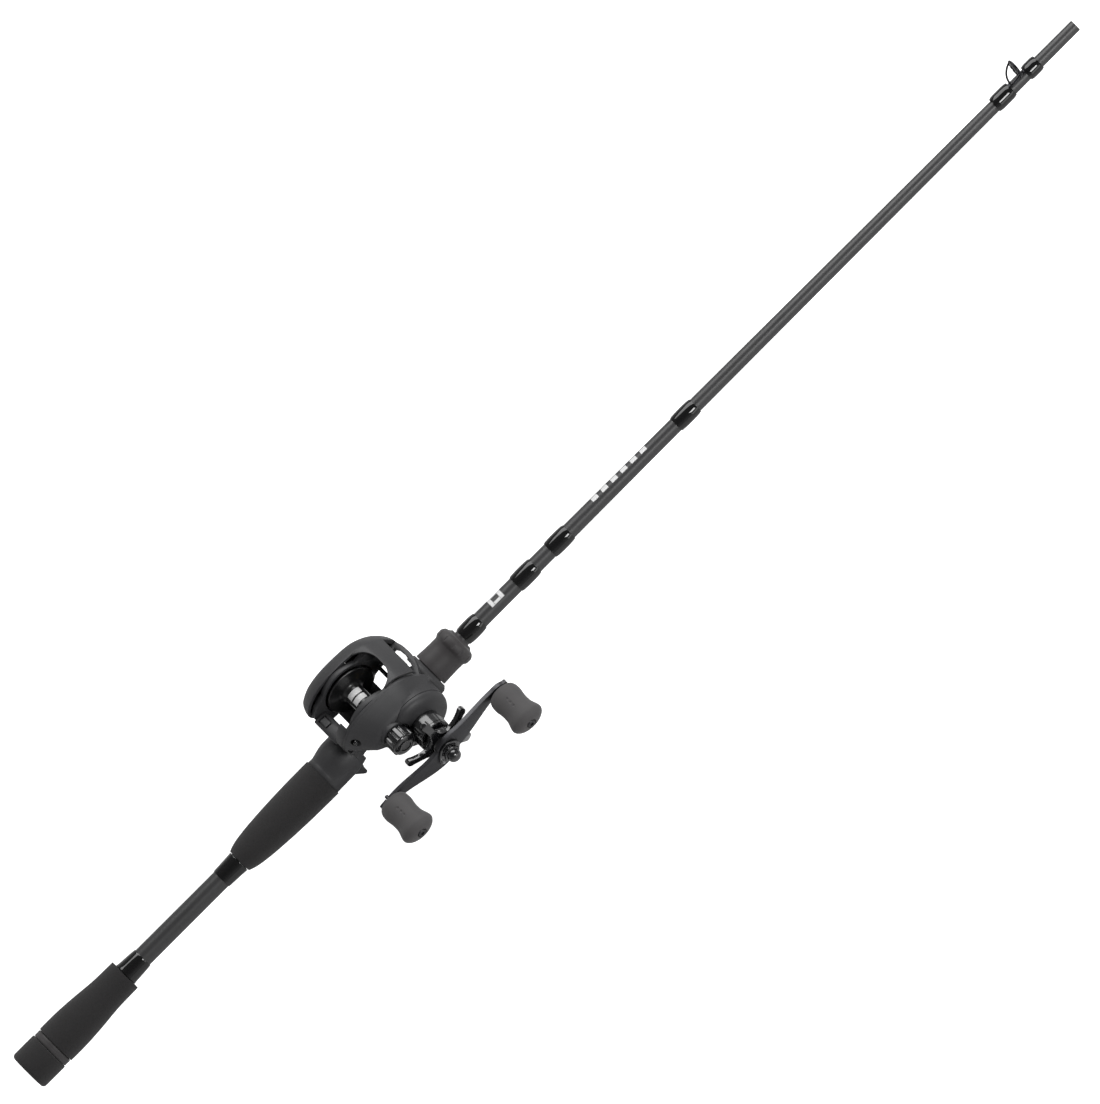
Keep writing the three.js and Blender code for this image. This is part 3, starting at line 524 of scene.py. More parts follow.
FLOAT = "NodeSocketFloat"
COLOUR = "NodeSocketColor"
VECTOR = "NodeSocketVector"


def grain_group() -> Tree:
    """Moulded grain: fine tooth and slow mottle, for plastics, foam, rubber and carbon.

    Returns:
        The group, with outputs Shade (0 to 1), Rough (added roughness) and Normal.
    """
    tree = group_of(
        "moulded_grain",
        {
            "Tooth": (FLOAT, 900.0), "Depth": (FLOAT, 0.2), "Mottle": (FLOAT, 40.0),
            "Spread": (FLOAT, 0.1), "Base Rough": (FLOAT, 0.6),
        },
        {"Shade": FLOAT, "Rough": FLOAT, "Normal": VECTOR},
    )
    given, out = tree.nodes["in"].outputs, tree.nodes["out"].inputs
    place = node(tree, "TexCoord").outputs["Object"]
    fine = node(tree, "TexNoise", Vector=place, Scale=given["Tooth"], Detail=3.0, Roughness=0.6)
    slow = node(tree, "TexNoise", Vector=place, Scale=given["Mottle"], Detail=4.0, Roughness=0.55)
    mottle = maths(tree, "MULTIPLY", slow.outputs["Fac"], 0.55)
    both = maths(tree, "MULTIPLY_ADD", fine.outputs["Fac"], 0.45, mottle)
    tree.links.new(both, out["Shade"])
    swing = maths(tree, "MULTIPLY", maths(tree, "SUBTRACT", slow.outputs["Fac"], 0.5), given["Spread"])
    tree.links.new(maths(tree, "ADD", swing, given["Base Rough"]), out["Rough"])
    bump = node(tree, "Bump", Strength=given["Depth"], Distance=0.0002, Height=fine.outputs["Fac"])
    tree.links.new(bump.outputs["Normal"], out["Normal"])
    return tree


def pores_group() -> Tree:
    """Foam pores: small pits with a soft tooth between them, and the pit mask that Foam uses to paint shade into
    them.

    Returns:
        The group, with outputs Pit (1 in a pit) and Normal.
    """
    tree = group_of(
        "foam_pores",
        {"Cells": (FLOAT, 1400.0), "Depth": (FLOAT, 0.4)},
        {"Pit": FLOAT, "Normal": VECTOR},
    )
    given, out = tree.nodes["in"].outputs, tree.nodes["out"].inputs
    place = node(tree, "TexCoord").outputs["Object"]
    cells = node(tree, "TexVoronoi", Vector=place, Scale=given["Cells"], Randomness=1.0)
    pit = node(tree, "MapRange", {"clamp": True},
               i0=cells.outputs["Distance"], i1=0.12, i2=0.42, i3=1.0, i4=0.0)
    tree.links.new(pit.outputs[0], out["Pit"])
    fuzz = node(tree, "TexNoise", Vector=place, Scale=maths(tree, "MULTIPLY", given["Cells"], 1.7), Detail=2.0)
    height = maths(tree, "SUBTRACT", fuzz.outputs["Fac"], pit.outputs[0])
    bump = node(tree, "Bump", Strength=given["Depth"], Distance=0.0003, Height=height)
    tree.links.new(bump.outputs["Normal"], out["Normal"])
    return tree


def lines_group() -> Tree:
    """Fine parallel lines along X or Y, for wound thread and for turned metal.

    Returns:
        The group, with outputs Line (0 to 1) and Normal.
    """
    tree = group_of(
        "fine_lines",
        {"Across X": (FLOAT, 1.0), "Per Metre": (FLOAT, 3000.0), "Depth": (FLOAT, 0.2), "Waver": (FLOAT, 0.3)},
        {"Line": FLOAT, "Normal": VECTOR},
    )
    given, out = tree.nodes["in"].outputs, tree.nodes["out"].inputs
    place = node(tree, "TexCoord").outputs["Object"]
    parts = node(tree, "SeparateXYZ", Vector=place)
    along_y = maths(tree, "MULTIPLY", maths(tree, "SUBTRACT", 1.0, given["Across X"]), parts.outputs["Y"])
    along = maths(tree, "MULTIPLY_ADD", parts.outputs["X"], given["Across X"], along_y)
    drift = node(tree, "TexNoise", Vector=place, Scale=220.0, Detail=2.0)
    moved = maths(tree, "MULTIPLY_ADD", along, given["Per Metre"],
                  maths(tree, "MULTIPLY", drift.outputs["Fac"], given["Waver"]))
    wave = maths(tree, "SINE", maths(tree, "MULTIPLY", moved, 2 * math.pi))
    line = maths(tree, "MULTIPLY_ADD", wave, 0.5, 0.5)
    tree.links.new(line, out["Line"])
    bump = node(tree, "Bump", Strength=given["Depth"], Distance=0.00008, Height=line)
    tree.links.new(bump.outputs["Normal"], out["Normal"])
    return tree


def placed(tree: Tree, group: str, **values: float) -> bpy.types.Node:
    """Places one of the shared groups in a material, with its own values."""
    made = tree.nodes.new("ShaderNodeGroup")
    made.node_tree = bpy.data.node_groups[group]
    for key, value in values.items():
        made.inputs[key.replace("_", " ")].default_value = value
    return made


Colour = tuple[float, float, float]


def rgba(colour: Colour, gain: float = 1.0) -> tuple[float, float, float, float]:
    """A colour with alpha, brightened by gain."""
    return (colour[0] * gain, colour[1] * gain, colour[2] * gain, 1.0)


@dataclass(frozen=True)
class Finish:
    """What every finish shares: a name, a colour and how it starts a material."""

    name: str
    colour: Colour

    def start(self) -> tuple[bpy.types.Material, Tree, bpy.types.Node]:
        """Makes the material and returns it with its tree and its Principled shader."""
        material = bpy.data.materials.new(self.name)
        material.use_nodes = True
        tree = material.node_tree
        return material, tree, tree.nodes["Principled BSDF"]


@dataclass(frozen=True)
class Moulded(Finish):
    """Plastic, rubber, coating or carbon with a moulded grain."""

    roughness: float = 0.6
    spread: float = 0.1
    tooth: float = 900.0
    depth: float = 0.2
    contrast: float = 0.35
    coat: float = 0.0
    coat_roughness: float = 0.1
    metallic: float = 0.0
    sheen: float = 0.0

    def material(self) -> bpy.types.Material:
        """Builds the material."""
        material, tree, shader = self.start()
        grain = placed(tree, "moulded_grain", Tooth=self.tooth, Depth=self.depth, Spread=self.spread,
                       Base_Rough=self.roughness)
        low, high = rgba(self.colour, 1 - self.contrast), rgba(self.colour, 1 + self.contrast)
        tree.links.new(mixed(tree, grain.outputs["Shade"], low, high), shader.inputs["Base Color"])
        tree.links.new(grain.outputs["Rough"], shader.inputs["Roughness"])
        tree.links.new(grain.outputs["Normal"], shader.inputs["Normal"])
        shader.inputs["Metallic"].default_value = self.metallic
        shader.inputs["Coat Weight"].default_value = self.coat
        shader.inputs["Coat Roughness"].default_value = self.coat_roughness
        shader.inputs["Sheen Weight"].default_value = self.sheen
        return material


@dataclass(frozen=True)
class Foam(Finish):
    """Dense closed-cell foam, cut and sanded, with painted shade darkening its pores."""

    cells: float = 1500.0

    def material(self) -> bpy.types.Material:
        """Builds the material."""
        material, tree, shader = self.start()
        pores = placed(tree, "foam_pores", Cells=self.cells, Depth=0.5)
        grain = placed(tree, "moulded_grain", Tooth=2600.0, Depth=0.0, Mottle=70.0, Spread=0.06,
                       Base_Rough=0.93)
        body = mixed(tree, grain.outputs["Shade"], rgba(self.colour, 0.75), rgba(self.colour, 1.3))
        # Painted shade: inside each pore's pit the colour drops to 0.45 of its base, standing in for the shade that
        # falls there.
        pits_painted_shade = mixed(tree, pores.outputs["Pit"], body, rgba(self.colour, 0.45))
        tree.links.new(pits_painted_shade, shader.inputs["Base Color"])
        tree.links.new(grain.outputs["Rough"], shader.inputs["Roughness"])
        tree.links.new(pores.outputs["Normal"], shader.inputs["Normal"])
        shader.inputs["Sheen Weight"].default_value = 0.12
        shader.inputs["Sheen Roughness"].default_value = 0.6
        return material


@dataclass(frozen=True)
class Metal(Finish):
    """Metal with fine turning or brushing lines."""

    roughness: float = 0.3
    across_x: float = 0.0
    per_metre: float = 5200.0
    depth: float = 0.12
    metallic: float = 1.0

    def material(self) -> bpy.types.Material:
        """Builds the material."""
        material, tree, shader = self.start()
        lines = placed(tree, "fine_lines", Across_X=self.across_x, Per_Metre=self.per_metre, Depth=self.depth,
                       Waver=1.6)
        grain = placed(tree, "moulded_grain", Tooth=1800.0, Depth=0.0, Mottle=90.0, Spread=0.16,
                       Base_Rough=self.roughness)
        tint = maths(tree, "MULTIPLY_ADD", lines.outputs["Line"], 0.35,
                     maths(tree, "MULTIPLY", grain.outputs["Shade"], 0.65))
        tree.links.new(mixed(tree, tint, rgba(self.colour, 0.78), rgba(self.colour, 1.18)),
                       shader.inputs["Base Color"])
        tree.links.new(grain.outputs["Rough"], shader.inputs["Roughness"])
        tree.links.new(lines.outputs["Normal"], shader.inputs["Normal"])
        shader.inputs["Metallic"].default_value = self.metallic
        return material


@dataclass(frozen=True)
class WoundThread(Finish):
    """Wound thread sunk in clear epoxy: fine rings below a smooth coat."""

    per_metre: float = 4200.0

    def material(self) -> bpy.types.Material:
        """Builds the material."""
        material, tree, shader = self.start()
        lines = placed(tree, "fine_lines", Across_X=1.0, Per_Metre=self.per_metre, Depth=0.5, Waver=0.25)
        tree.links.new(mixed(tree, lines.outputs["Line"], rgba(self.colour, 0.4), rgba(self.colour, 1.5)),
                       shader.inputs["Base Color"])
        tree.links.new(lines.outputs["Normal"], shader.inputs["Normal"])
        shader.inputs["Roughness"].default_value = 0.45
        shader.inputs["Specular IOR Level"].default_value = 0.05
        shader.inputs["Coat Weight"].default_value = 1.0
        shader.inputs["Coat Roughness"].default_value = 0.03
        return material


FINISHES: dict[str, Finish] = {
    "matte_body": Moulded("matte_nylon", (0.034, 0.034, 0.036), roughness=0.5, tooth=1500, depth=0.16,
                          contrast=0.3),
    "graphite": Moulded("satin_carbon", (0.03, 0.03, 0.031), roughness=0.42, tooth=700, depth=0.05, contrast=0.3,
                        coat=0.25, coat_roughness=0.35),
    "foam_grip": Foam("cut_foam", (0.0145, 0.0135, 0.014)),
    "soft_touch": Moulded("soft_coating", (0.032, 0.029, 0.030), roughness=0.56, tooth=2200, depth=0.08,
                          contrast=0.22, sheen=0.15),
    "knob_rubber": Moulded("grey_rubber", (0.062, 0.059, 0.06), roughness=0.68, tooth=2400, depth=0.1,
                           contrast=0.2, sheen=0.2),
    "epoxy": WoundThread("coated_thread", (0.003, 0.003, 0.0033)),
    "gloss_black": Moulded("black_lacquer", (0.006, 0.006, 0.007), roughness=0.22, spread=0.05, tooth=500,
                           depth=0.02, contrast=0.25, coat=1.0, coat_roughness=0.04),
    "anodised": Metal("black_anodising", (0.03, 0.03, 0.033), roughness=0.3, across_x=1.0),
    "spool_black": Moulded("spool_coating", (0.005, 0.005, 0.0055), roughness=0.4, spread=0.06, tooth=800,
                           depth=0.02, contrast=0.2, coat=0.4, coat_roughness=0.08),
    "gunmetal": Metal("gunmetal_coating", (0.07, 0.07, 0.074), roughness=0.46, across_x=1.0, per_metre=900,
                      depth=0.03),
    "steel": Metal("turned_steel", (0.55, 0.55, 0.56), roughness=0.28),
    "brass": Metal("cut_brass", (0.62, 0.46, 0.2), roughness=0.3),
    "ceramic": Moulded("polished_ceramic", (0.02, 0.02, 0.024), roughness=0.12, spread=0.03, tooth=600, depth=0.01,
                       contrast=0.2, coat=1.0, coat_roughness=0.03),
    "fibre": Moulded("fibre_resin", (0.02, 0.02, 0.021), roughness=0.7, tooth=1600, depth=0.2),
}
PRINT = Moulded("white_print", (0.78, 0.78, 0.78), roughness=0.45, spread=0.05, tooth=2600, depth=0.04,
                contrast=0.06)
MATERIALS: dict[str, bpy.types.Material] = {}


def mix_finishes() -> None:
    """Builds the shared node groups and every finish's material."""
    grain_group()
    pores_group()
    lines_group()
    for slot, finish in FINISHES.items():
        MATERIALS[slot] = finish.material()
    MATERIALS["print"] = PRINT.material()


def fit(obj: bpy.types.Object, finish: str, body: Body, *stands_for: str) -> bpy.types.Object:
    """Dresses a finished piece and fixes it to the body it moves with.

    Args:
        obj: the piece, in place.
        finish: the material slot that it takes its finish from, or "print".
        body: the body that it rides on.
        stands_for: the frame nodes that it replaces.

    Returns:
        The same piece.
    """
    settle(obj)
    obj.data.materials.clear()
    obj.data.materials.append(MATERIALS[finish])
    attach(obj, body.value)
    if stands_for:
        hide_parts(*stands_for)
    LOG.info("%s: %d faces, on %s", obj.name, len(obj.data.polygons), body.value)
    return obj


# ---------------------------------------------------------------- studio


@dataclass
class Studio:
    """The camera, the floor, the surround and the lamps."""

    aim: Point3 = (431.2, -0.54, -0.34)
    distance: float = 12000.0
    looking_down: float = SEEN_FROM
    roll: float = 44.983
    focal: float = 445.92
    floor_z: float = -25.6
    floor_size: float = 16.0
    surround: float = 0.42
    floor_glow: float = 0.95

    def axes(self) -> tuple[Vector, Vector, Vector]:
        """The picture's right, its up and the direction looked in."""
        down = math.radians(self.looking_down)
        turn = math.radians(self.roll)
        forward = Vector((0, math.cos(down), -math.sin(down)))
        level_up = Vector((0, math.sin(down), math.cos(down)))
        along = Vector((1, 0, 0))
        right = math.cos(turn) * along - math.sin(turn) * level_up
        up = math.sin(turn) * along + math.cos(turn) * level_up
        return right, up, forward

    def build_camera(self) -> None:
        """Places the camera and makes it the scene's."""
        right, up, forward = self.axes()
        data = bpy.data.cameras.new("camera")
        data.lens = self.focal
        data.sensor_fit = "VERTICAL"
        data.sensor_height = 24
        data.clip_start, data.clip_end = 0.05, 60
        obj = bpy.data.objects.new("camera", data)
        bpy.context.scene.collection.objects.link(obj)
        turned_to = Matrix((right, up, -forward)).transposed()
        place = (Vector(self.aim) - forward * self.distance) * MM
        obj.matrix_world = Matrix.Translation(place) @ turned_to.to_4x4()
        bpy.context.scene.camera = obj

    def build_floor(self) -> None:
        """Lays the pale floor under the lowest point."""
        clear_selection()
        bpy.ops.mesh.primitive_grid_add(size=self.floor_size, location=(0.4, 0, self.floor_z * MM),
                                        x_subdivisions=8, y_subdivisions=8)
        floor = bpy.context.object
        floor.name = "floor"
        settle(floor)
        material = bpy.data.materials.new("studio_paper")
        material.use_nodes = True
        shader = material.node_tree.nodes["Principled BSDF"]
        shader.inputs["Base Color"].default_value = (0.8, 0.8, 0.8, 1)
        shader.inputs["Roughness"].default_value = 0.95
        shader.inputs["Specular IOR Level"].default_value = 0.1
        shader.inputs["Emission Color"].default_value = (1, 1, 1, 1)
        seen = node(material.node_tree, "LightPath").outputs["Is Camera Ray"]
        glow = maths(material.node_tree, "MULTIPLY", seen, self.floor_glow)
        material.node_tree.links.new(glow, shader.inputs["Emission Strength"])
        floor.data.materials.append(material)
        floor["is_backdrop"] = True

    def build_surround(self) -> None:
        """Lights the scene from all round, brighter near the horizon than overhead."""
        world = bpy.data.worlds.new("surround")
        bpy.context.scene.world = world
        world.use_nodes = True
        tree = world.node_tree
        place = node(tree, "TexCoord").outputs["Generated"]
        height = node(tree, "SeparateXYZ", Vector=place).outputs["Z"]
        ramp = node(tree, "MapRange", {"clamp": True, "interpolation_type": "SMOOTHSTEP"},
                    i0=height, i1=0.12, i2=0.75, i3=1.0, i4=0.3)
        shade = mixed(tree, ramp.outputs[0], (0, 0, 0, 1), (1, 1, 1, 1))
        background = tree.nodes["Background"]
        tree.links.new(shade, background.inputs["Color"])
        background.inputs["Strength"].default_value = self.surround

    def lamp(self, name: str, place: Vector, size: Point2, power: float) -> None:
        """Hangs a soft box lamp that faces the reel.

        Args:
            name: the lamp's name.
            place: where it hangs, in metres from the middle of the rod.
            size: its width and height in metres.
            power: its power in watts.
        """
        data = bpy.data.lights.new(name, "AREA")
        data.shape = "RECTANGLE"
        data.size, data.size_y = size
        data.energy = power
        obj = bpy.data.objects.new(name, data)
        bpy.context.scene.collection.objects.link(obj)
        target = Vector(self.aim) * MM
        obj.location = target + place
        obj.rotation_euler = (-place).to_track_quat("-Z", "Y").to_euler()

    def build_lamps(self) -> None:
        """Hangs the key, the fill and the small lamp that glints on the coated windings."""
        right, up, forward = self.axes()
        turn = math.radians(self.roll)
        across = math.cos(turn) * up - math.sin(turn) * right
        along = Vector((1, 0, 0))
        self.lamp("key", -right * 0.7 + up * 1.9 - forward * 0.9, (2.2, 1.5), 44)
        self.lamp("fill", right * 1.6 - up * 0.5 - forward * 1.2, (1.1, 0.8), 5)
        self.lamp("glint", along * 0.5 - across * 0.62 - forward * 2.0, (0.5, 0.62), 16)

    def build(self) -> None:
        """Builds it all."""
        self.build_camera()
        self.build_floor()
        self.build_surround()
        self.build_lamps()
        bpy.context.scene.view_settings.view_transform = "Standard"


# ---------------------------------------------------------------- rod


def sleeve(name: str, outside: list[Point2], gap: float = GAP, sides: int = 96) -> bpy.types.Object:
    """A turned piece on the blank, whose bore follows the blank's taper."""
    start, end = outside[0][0], outside[-1][0]
    bends = [x for x, _ in reversed(BLANK_TAPER) if start < x < end]
    inside = [(x, blank_radius(x) + gap) for x in (end, *bends, start)]
    return turned(name, [*outside, *inside], Axis.ROD, sides=sides)


@dataclass
class Blank:
    """The tapered carbon blank, its windings and its printed marks."""

    wall: float = 1.1
    butt_winding: list[Point2] = field(default_factory=lambda: [
        (80.7, 7.4), (81.1, 7.6), (83, 7.4), (87, 7.15), (91, 6.9), (94.2, 6.6), (95, 6.38)])
    grip_winding: list[Point2] = field(default_factory=lambda: [
        (160, 6.32), (160.7, 6.48), (163, 6.6), (167, 6.78), (171, 6.98), (174.2, 7.2), (174.6, 7.0)])
    rings: dict[str, tuple[float, float, float]] = field(default_factory=lambda: {
        "seat_winding": (359.9, 374, 6.35), "trim_winding_rear": (403.7, 419.3, 6.05),
        "trim_winding_front": (431.9, 447.5, 5.95), "label_winding": (536, 552, 5.55)})

    def build_blank(self) -> bpy.types.Object:
        """Turns the hollow blank."""
        middle = [(x, blank_radius(x)) for x in range(20, 866, 60)]
        outside = sorted([*BLANK_TAPER[1:-1], *middle, (2.3, 6.1), (866.3, 3.8)])
        edge = [(866.6, 3.5), (866.6, 3.8 - self.wall)]
        inside = [(x, r - self.wall) for x, r in reversed(BLANK_TAPER[:-1])]
        return soften(turned("rod_blank", [*outside, *edge, *inside], Axis.ROD, sides=96), 0)

    def bulge(self, x0: float, x1: float, peak: float) -> list[Point2]:
        """A winding's outside: a long low swell that meets the blank at both ends."""
        steps = 14
        points = []
        for i in range(steps + 1):
            t = i / steps
            edge = blank_radius(x0 + (x1 - x0) * t) + 0.42
            swell = min(1.0, 4.2 * t * (1 - t)) ** 0.6
            points.append((x0 + (x1 - x0) * t, edge + (peak - edge) * swell))
        return points

    def bar(self, x0: float, x1: float, a0: float, a1: float) -> list[Point2]:
        """The corners of a plain printed bar, from x0 to x1 and from one angle to another."""
        return [(x0, a0), (x1, a0), (x1, a1), (x0, a1)]

    def mark(self, name: str, quads: list[list[Point2]], onto: bpy.types.Object) -> bpy.types.Object:
        """Prints flat shapes round the blank.

        Args:
            name: the mark's name.
            quads: each shape's four corners, as a distance along the rod and an angle from the
                side the reel is seen from, in degrees.
            onto: the blank.

        Returns:
            The mark, as one thin closed piece.
        """
        face_on = math.radians(SEEN_FROM)
        shapes = []
        for corners in quads:
            around = []
            for x, angle in corners:
                turn = math.radians(angle)
                radius = blank_radius(x) * 1.5
                toward, upward = math.cos(turn) * radius, math.sin(turn) * radius
                around.append((
                    x,
                    -math.cos(face_on) * toward + math.sin(face_on) * upward,
                    math.sin(face_on) * toward + math.cos(face_on) * upward,
                ))
            shape = outline_face(name, around)
            bpy.ops.mesh.select_all(action="SELECT")
            bpy.ops.mesh.subdivide(number_cuts=11)
            tidy_mesh(shape)
            shapes.append(shape)
        made = merged(name, shapes)
        pick(made)
        wrap = made.modifiers.new("wrap", "SHRINKWRAP")
        wrap.target = onto
        wrap.wrap_mode = "ABOVE_SURFACE"
        wrap.offset = 0.04 * MM
        bpy.ops.object.modifier_apply(modifier=wrap.name)
        skin = made.modifiers.new("skin", "SOLIDIFY")
        skin.thickness = 0.025 * MM
        skin.offset = 0
        bpy.ops.object.modifier_apply(modifier=skin.name)
        return soften(tidy_mesh(made, 0.0005), 0, angle=50)

    def build(self) -> None:
        """Builds and dresses the blank, its windings and marks."""
        blank = self.build_blank()
        fit(blank, "graphite", Body.ROD, "blank")
        for name, outside in (("butt_winding", self.butt_winding), ("grip_winding", self.grip_winding)):
            fit(soften(sleeve("coat_" + name, blend_curve(outside)), 0, angle=40), "epoxy", Body.ROD, name)
        for name, (x0, x1, peak) in self.rings.items():
            fit(soften(sleeve("coat_" + name, self.bulge(x0, x1, peak)), 0, angle=40), "epoxy", Body.ROD, name)
        square = [self.bar(384.5, 386.9, 2, 84), self.bar(391.9, 394.5, 2, 84), self.bar(387.1, 391.7, 2, 22),
                  self.bar(387.1, 391.7, 60, 84)]
        fit(self.mark("print_square", square, blank), "print", Body.ROD)
        bars = [self.bar(469.8 + 7.95 * i, 474.4 + 7.95 * i, 24, 66) for i in range(6)]
        fit(self.mark("print_bars", bars, blank), "print", Body.ROD)


@dataclass
class Grips:
    """The foam butt cap and grips and the ring between them."""

    cap: list[Point2] = field(default_factory=lambda: [
        (0, 0), (0, 11.2), (0.35, 12.1), (1.0, 12.7), (1.8, 13.0), (3.0, 13.1), (17.1, 13.1), (17.6, 12.95),
        (17.8, 12.6), (17.8, 6.4), (2, 6.4), (2, 0)])
    ring: list[Point2] = field(default_factory=lambda: [
        (18.1, 12.2), (18.3, 12.55), (18.8, 12.7), (20.0, 12.62), (20.6, 12.62), (21.8, 12.7), (22.3, 12.55),
        (22.5, 12.2)])
    lower: list[Point2] = field(default_factory=lambda: [
        (22.8, 12.4), (23.1, 12.9), (23.9, 13.1), (34, 13.1), (43, 12.7), (51.7, 12.05), (59.5, 11.3),
        (67.3, 10.8), (79.4, 10.6), (80.1, 10.45), (80.4, 10.0)])
    upper: list[Point2] = field(default_factory=lambda: [
        (174.9, 7.6), (175.3, 8.0), (176.5, 8.5), (179, 9.3), (182.5, 10.1), (190, 11.1), (198, 11.75),
        (209, 12.4), (225, 12.95), (242.6, 13.1), (243.3, 12.95), (243.6, 12.6)])

    def build(self) -> None:
        """Builds and dresses the grips."""
        cap = turned("foam_butt_cap", self.cap, Axis.ROD, sides=96)
        fit(soften(cap, 0, angle=40), "foam_grip", Body.ROD, "butt_cap")
        ring = sleeve("butt_trim_ring", self.ring)
        fit(soften(ring, 0, angle=40), "soft_touch", Body.ROD, "butt_ring")
        lower = sleeve("foam_butt_grip", blend_curve(self.lower))
        fit(soften(lower, 0, angle=40), "foam_grip", Body.ROD, "butt_grip")
        upper = sleeve("foam_rear_grip", blend_curve(self.upper))
        fit(soften(upper, 0, angle=40), "foam_grip", Body.ROD, "rear_grip")


@dataclass
class ReelSeat:
    """The reel seat with its trigger, the sliding hood and the nut that locks it."""

    platform_z: float = 7.1
    foot_half: float = 7.0
    trigger: list[Point2] = field(default_factory=lambda: [
        (246, -9), (251, -12.5), (256.5, -15.5), (259.8, -20), (263.0, -24.9), (265.0, -24.5), (265.2, -20),
        (266.5, -14), (268.5, -9), (262, -5), (252, -5)])
    barrel: list[Point2] = field(default_factory=lambda: [
        (243.9, 12.1), (244.3, 12.4), (247, 12.3), (262, 12.1), (265, 11.4), (268, 10.6), (272, 9.5), (276, 9.2),
        (330, 9.0), (352.2, 9.0), (352.5, 8.7)])
    hood: list[Point2] = field(default_factory=lambda: [
        (247, 12.2), (249, 12.7), (252, 13.5), (255, 14.2), (258, 14.5), (265.4, 14.5), (266.2, 14.3),
        (266.5, 13.8)])
    nut: list[Point2] = field(default_factory=lambda: [
        (332.8, 9.3), (332.8, 11.2), (333.1, 11.5), (333.6, 11.6), (338, 11.35), (344, 11.15), (348.4, 11.2),
        (349.4, 11.6), (350.2, 12.2), (351.0, 12.45), (353.8, 12.5), (354.8, 12.2), (355.6, 11.6), (356.4, 11.0),
        (356.9, 10.0), (357.1, 9.1), (357.8, 8.1), (358.6, 7.5), (358.6, 6.7), (353, 6.7), (353, 9.3)])

    def build_seat(self) -> bpy.types.Object:
        """Builds the moulded seat."""
        bore = turned("bore", [(240, 0), (240, 8.2), (360, 8.2), (360, 0)], Axis.ROD, sides=96)
        body = turned("reel_seat", [(243.9, 0), *self.barrel, (352.5, 0)], Axis.ROD, sides=96)
        trigger = plate("trigger", blend_curve(self.trigger, 3, closed=True), -3.6, 3.6)
        soften(trigger, 1.3, 4, 40)
        join(body, trigger)
        cut(body, block("platform", (257, -20, self.platform_z), (334, 20, 30)))
        hood = turned("hood", [(247, 0), *self.hood, (266.5, 0)], Axis.ROD, sides=96)
        cut(hood, block("under", (240, -20, -20), (280, 20, 6)))
        join(body, hood)
        room = self.foot_half + 0.6
        pocket = block("pocket", (259.4, -room, self.platform_z), (275, room, 9.3))
        window = block("window", (270, -20, -20), (318, 20, 1.5))
        cut(body, pocket, window, bore)
        return soften(body, 0.35, 2, 40)

    def build_hood(self) -> bpy.types.Object:
        """Builds the sliding hood."""
        ring = turned("sliding_hood", [
            (327.4, 9.3), (327.4, 13.8), (327.7, 14.3), (328.4, 14.5), (330, 14.4), (331, 13.8), (332.4, 12.4),
            (332.4, 9.3)], Axis.ROD, sides=96)
        slot = block("slot", (326, -self.foot_half - 0.6, 6.1), (331.8, self.foot_half + 0.6, 9.3))
        return soften(cut(ring, slot), 0.15, 2, 40)

    def build_nut(self) -> bpy.types.Object:
        """Builds the locking nut, with shallow finger flutes round its collar."""
        nut = turned("locking_nut", self.nut, Axis.ROD, sides=96)
        for i in range(12):
            turn = 2 * math.pi * i / 12
            flute = turned("flute", [(349.9, 0), (349.9, 0.9), (355.4, 0.9), (355.4, 0)], Axis.ROD,
                           (0, 13.05 * math.cos(turn), 13.05 * math.sin(turn)), 20)
            cut(nut, flute)
        return soften(nut, 0, angle=30)

    def build(self) -> None:
        """Builds and dresses the seat."""
        fit(self.build_seat(), "matte_body", Body.ROD, "seat_body")
        fit(self.build_hood(), "matte_body", Body.CLAMP_HOOD, "clamp_hood")
        fit(self.build_nut(), "soft_touch", Body.LOCK_NUT, "lock_nut")


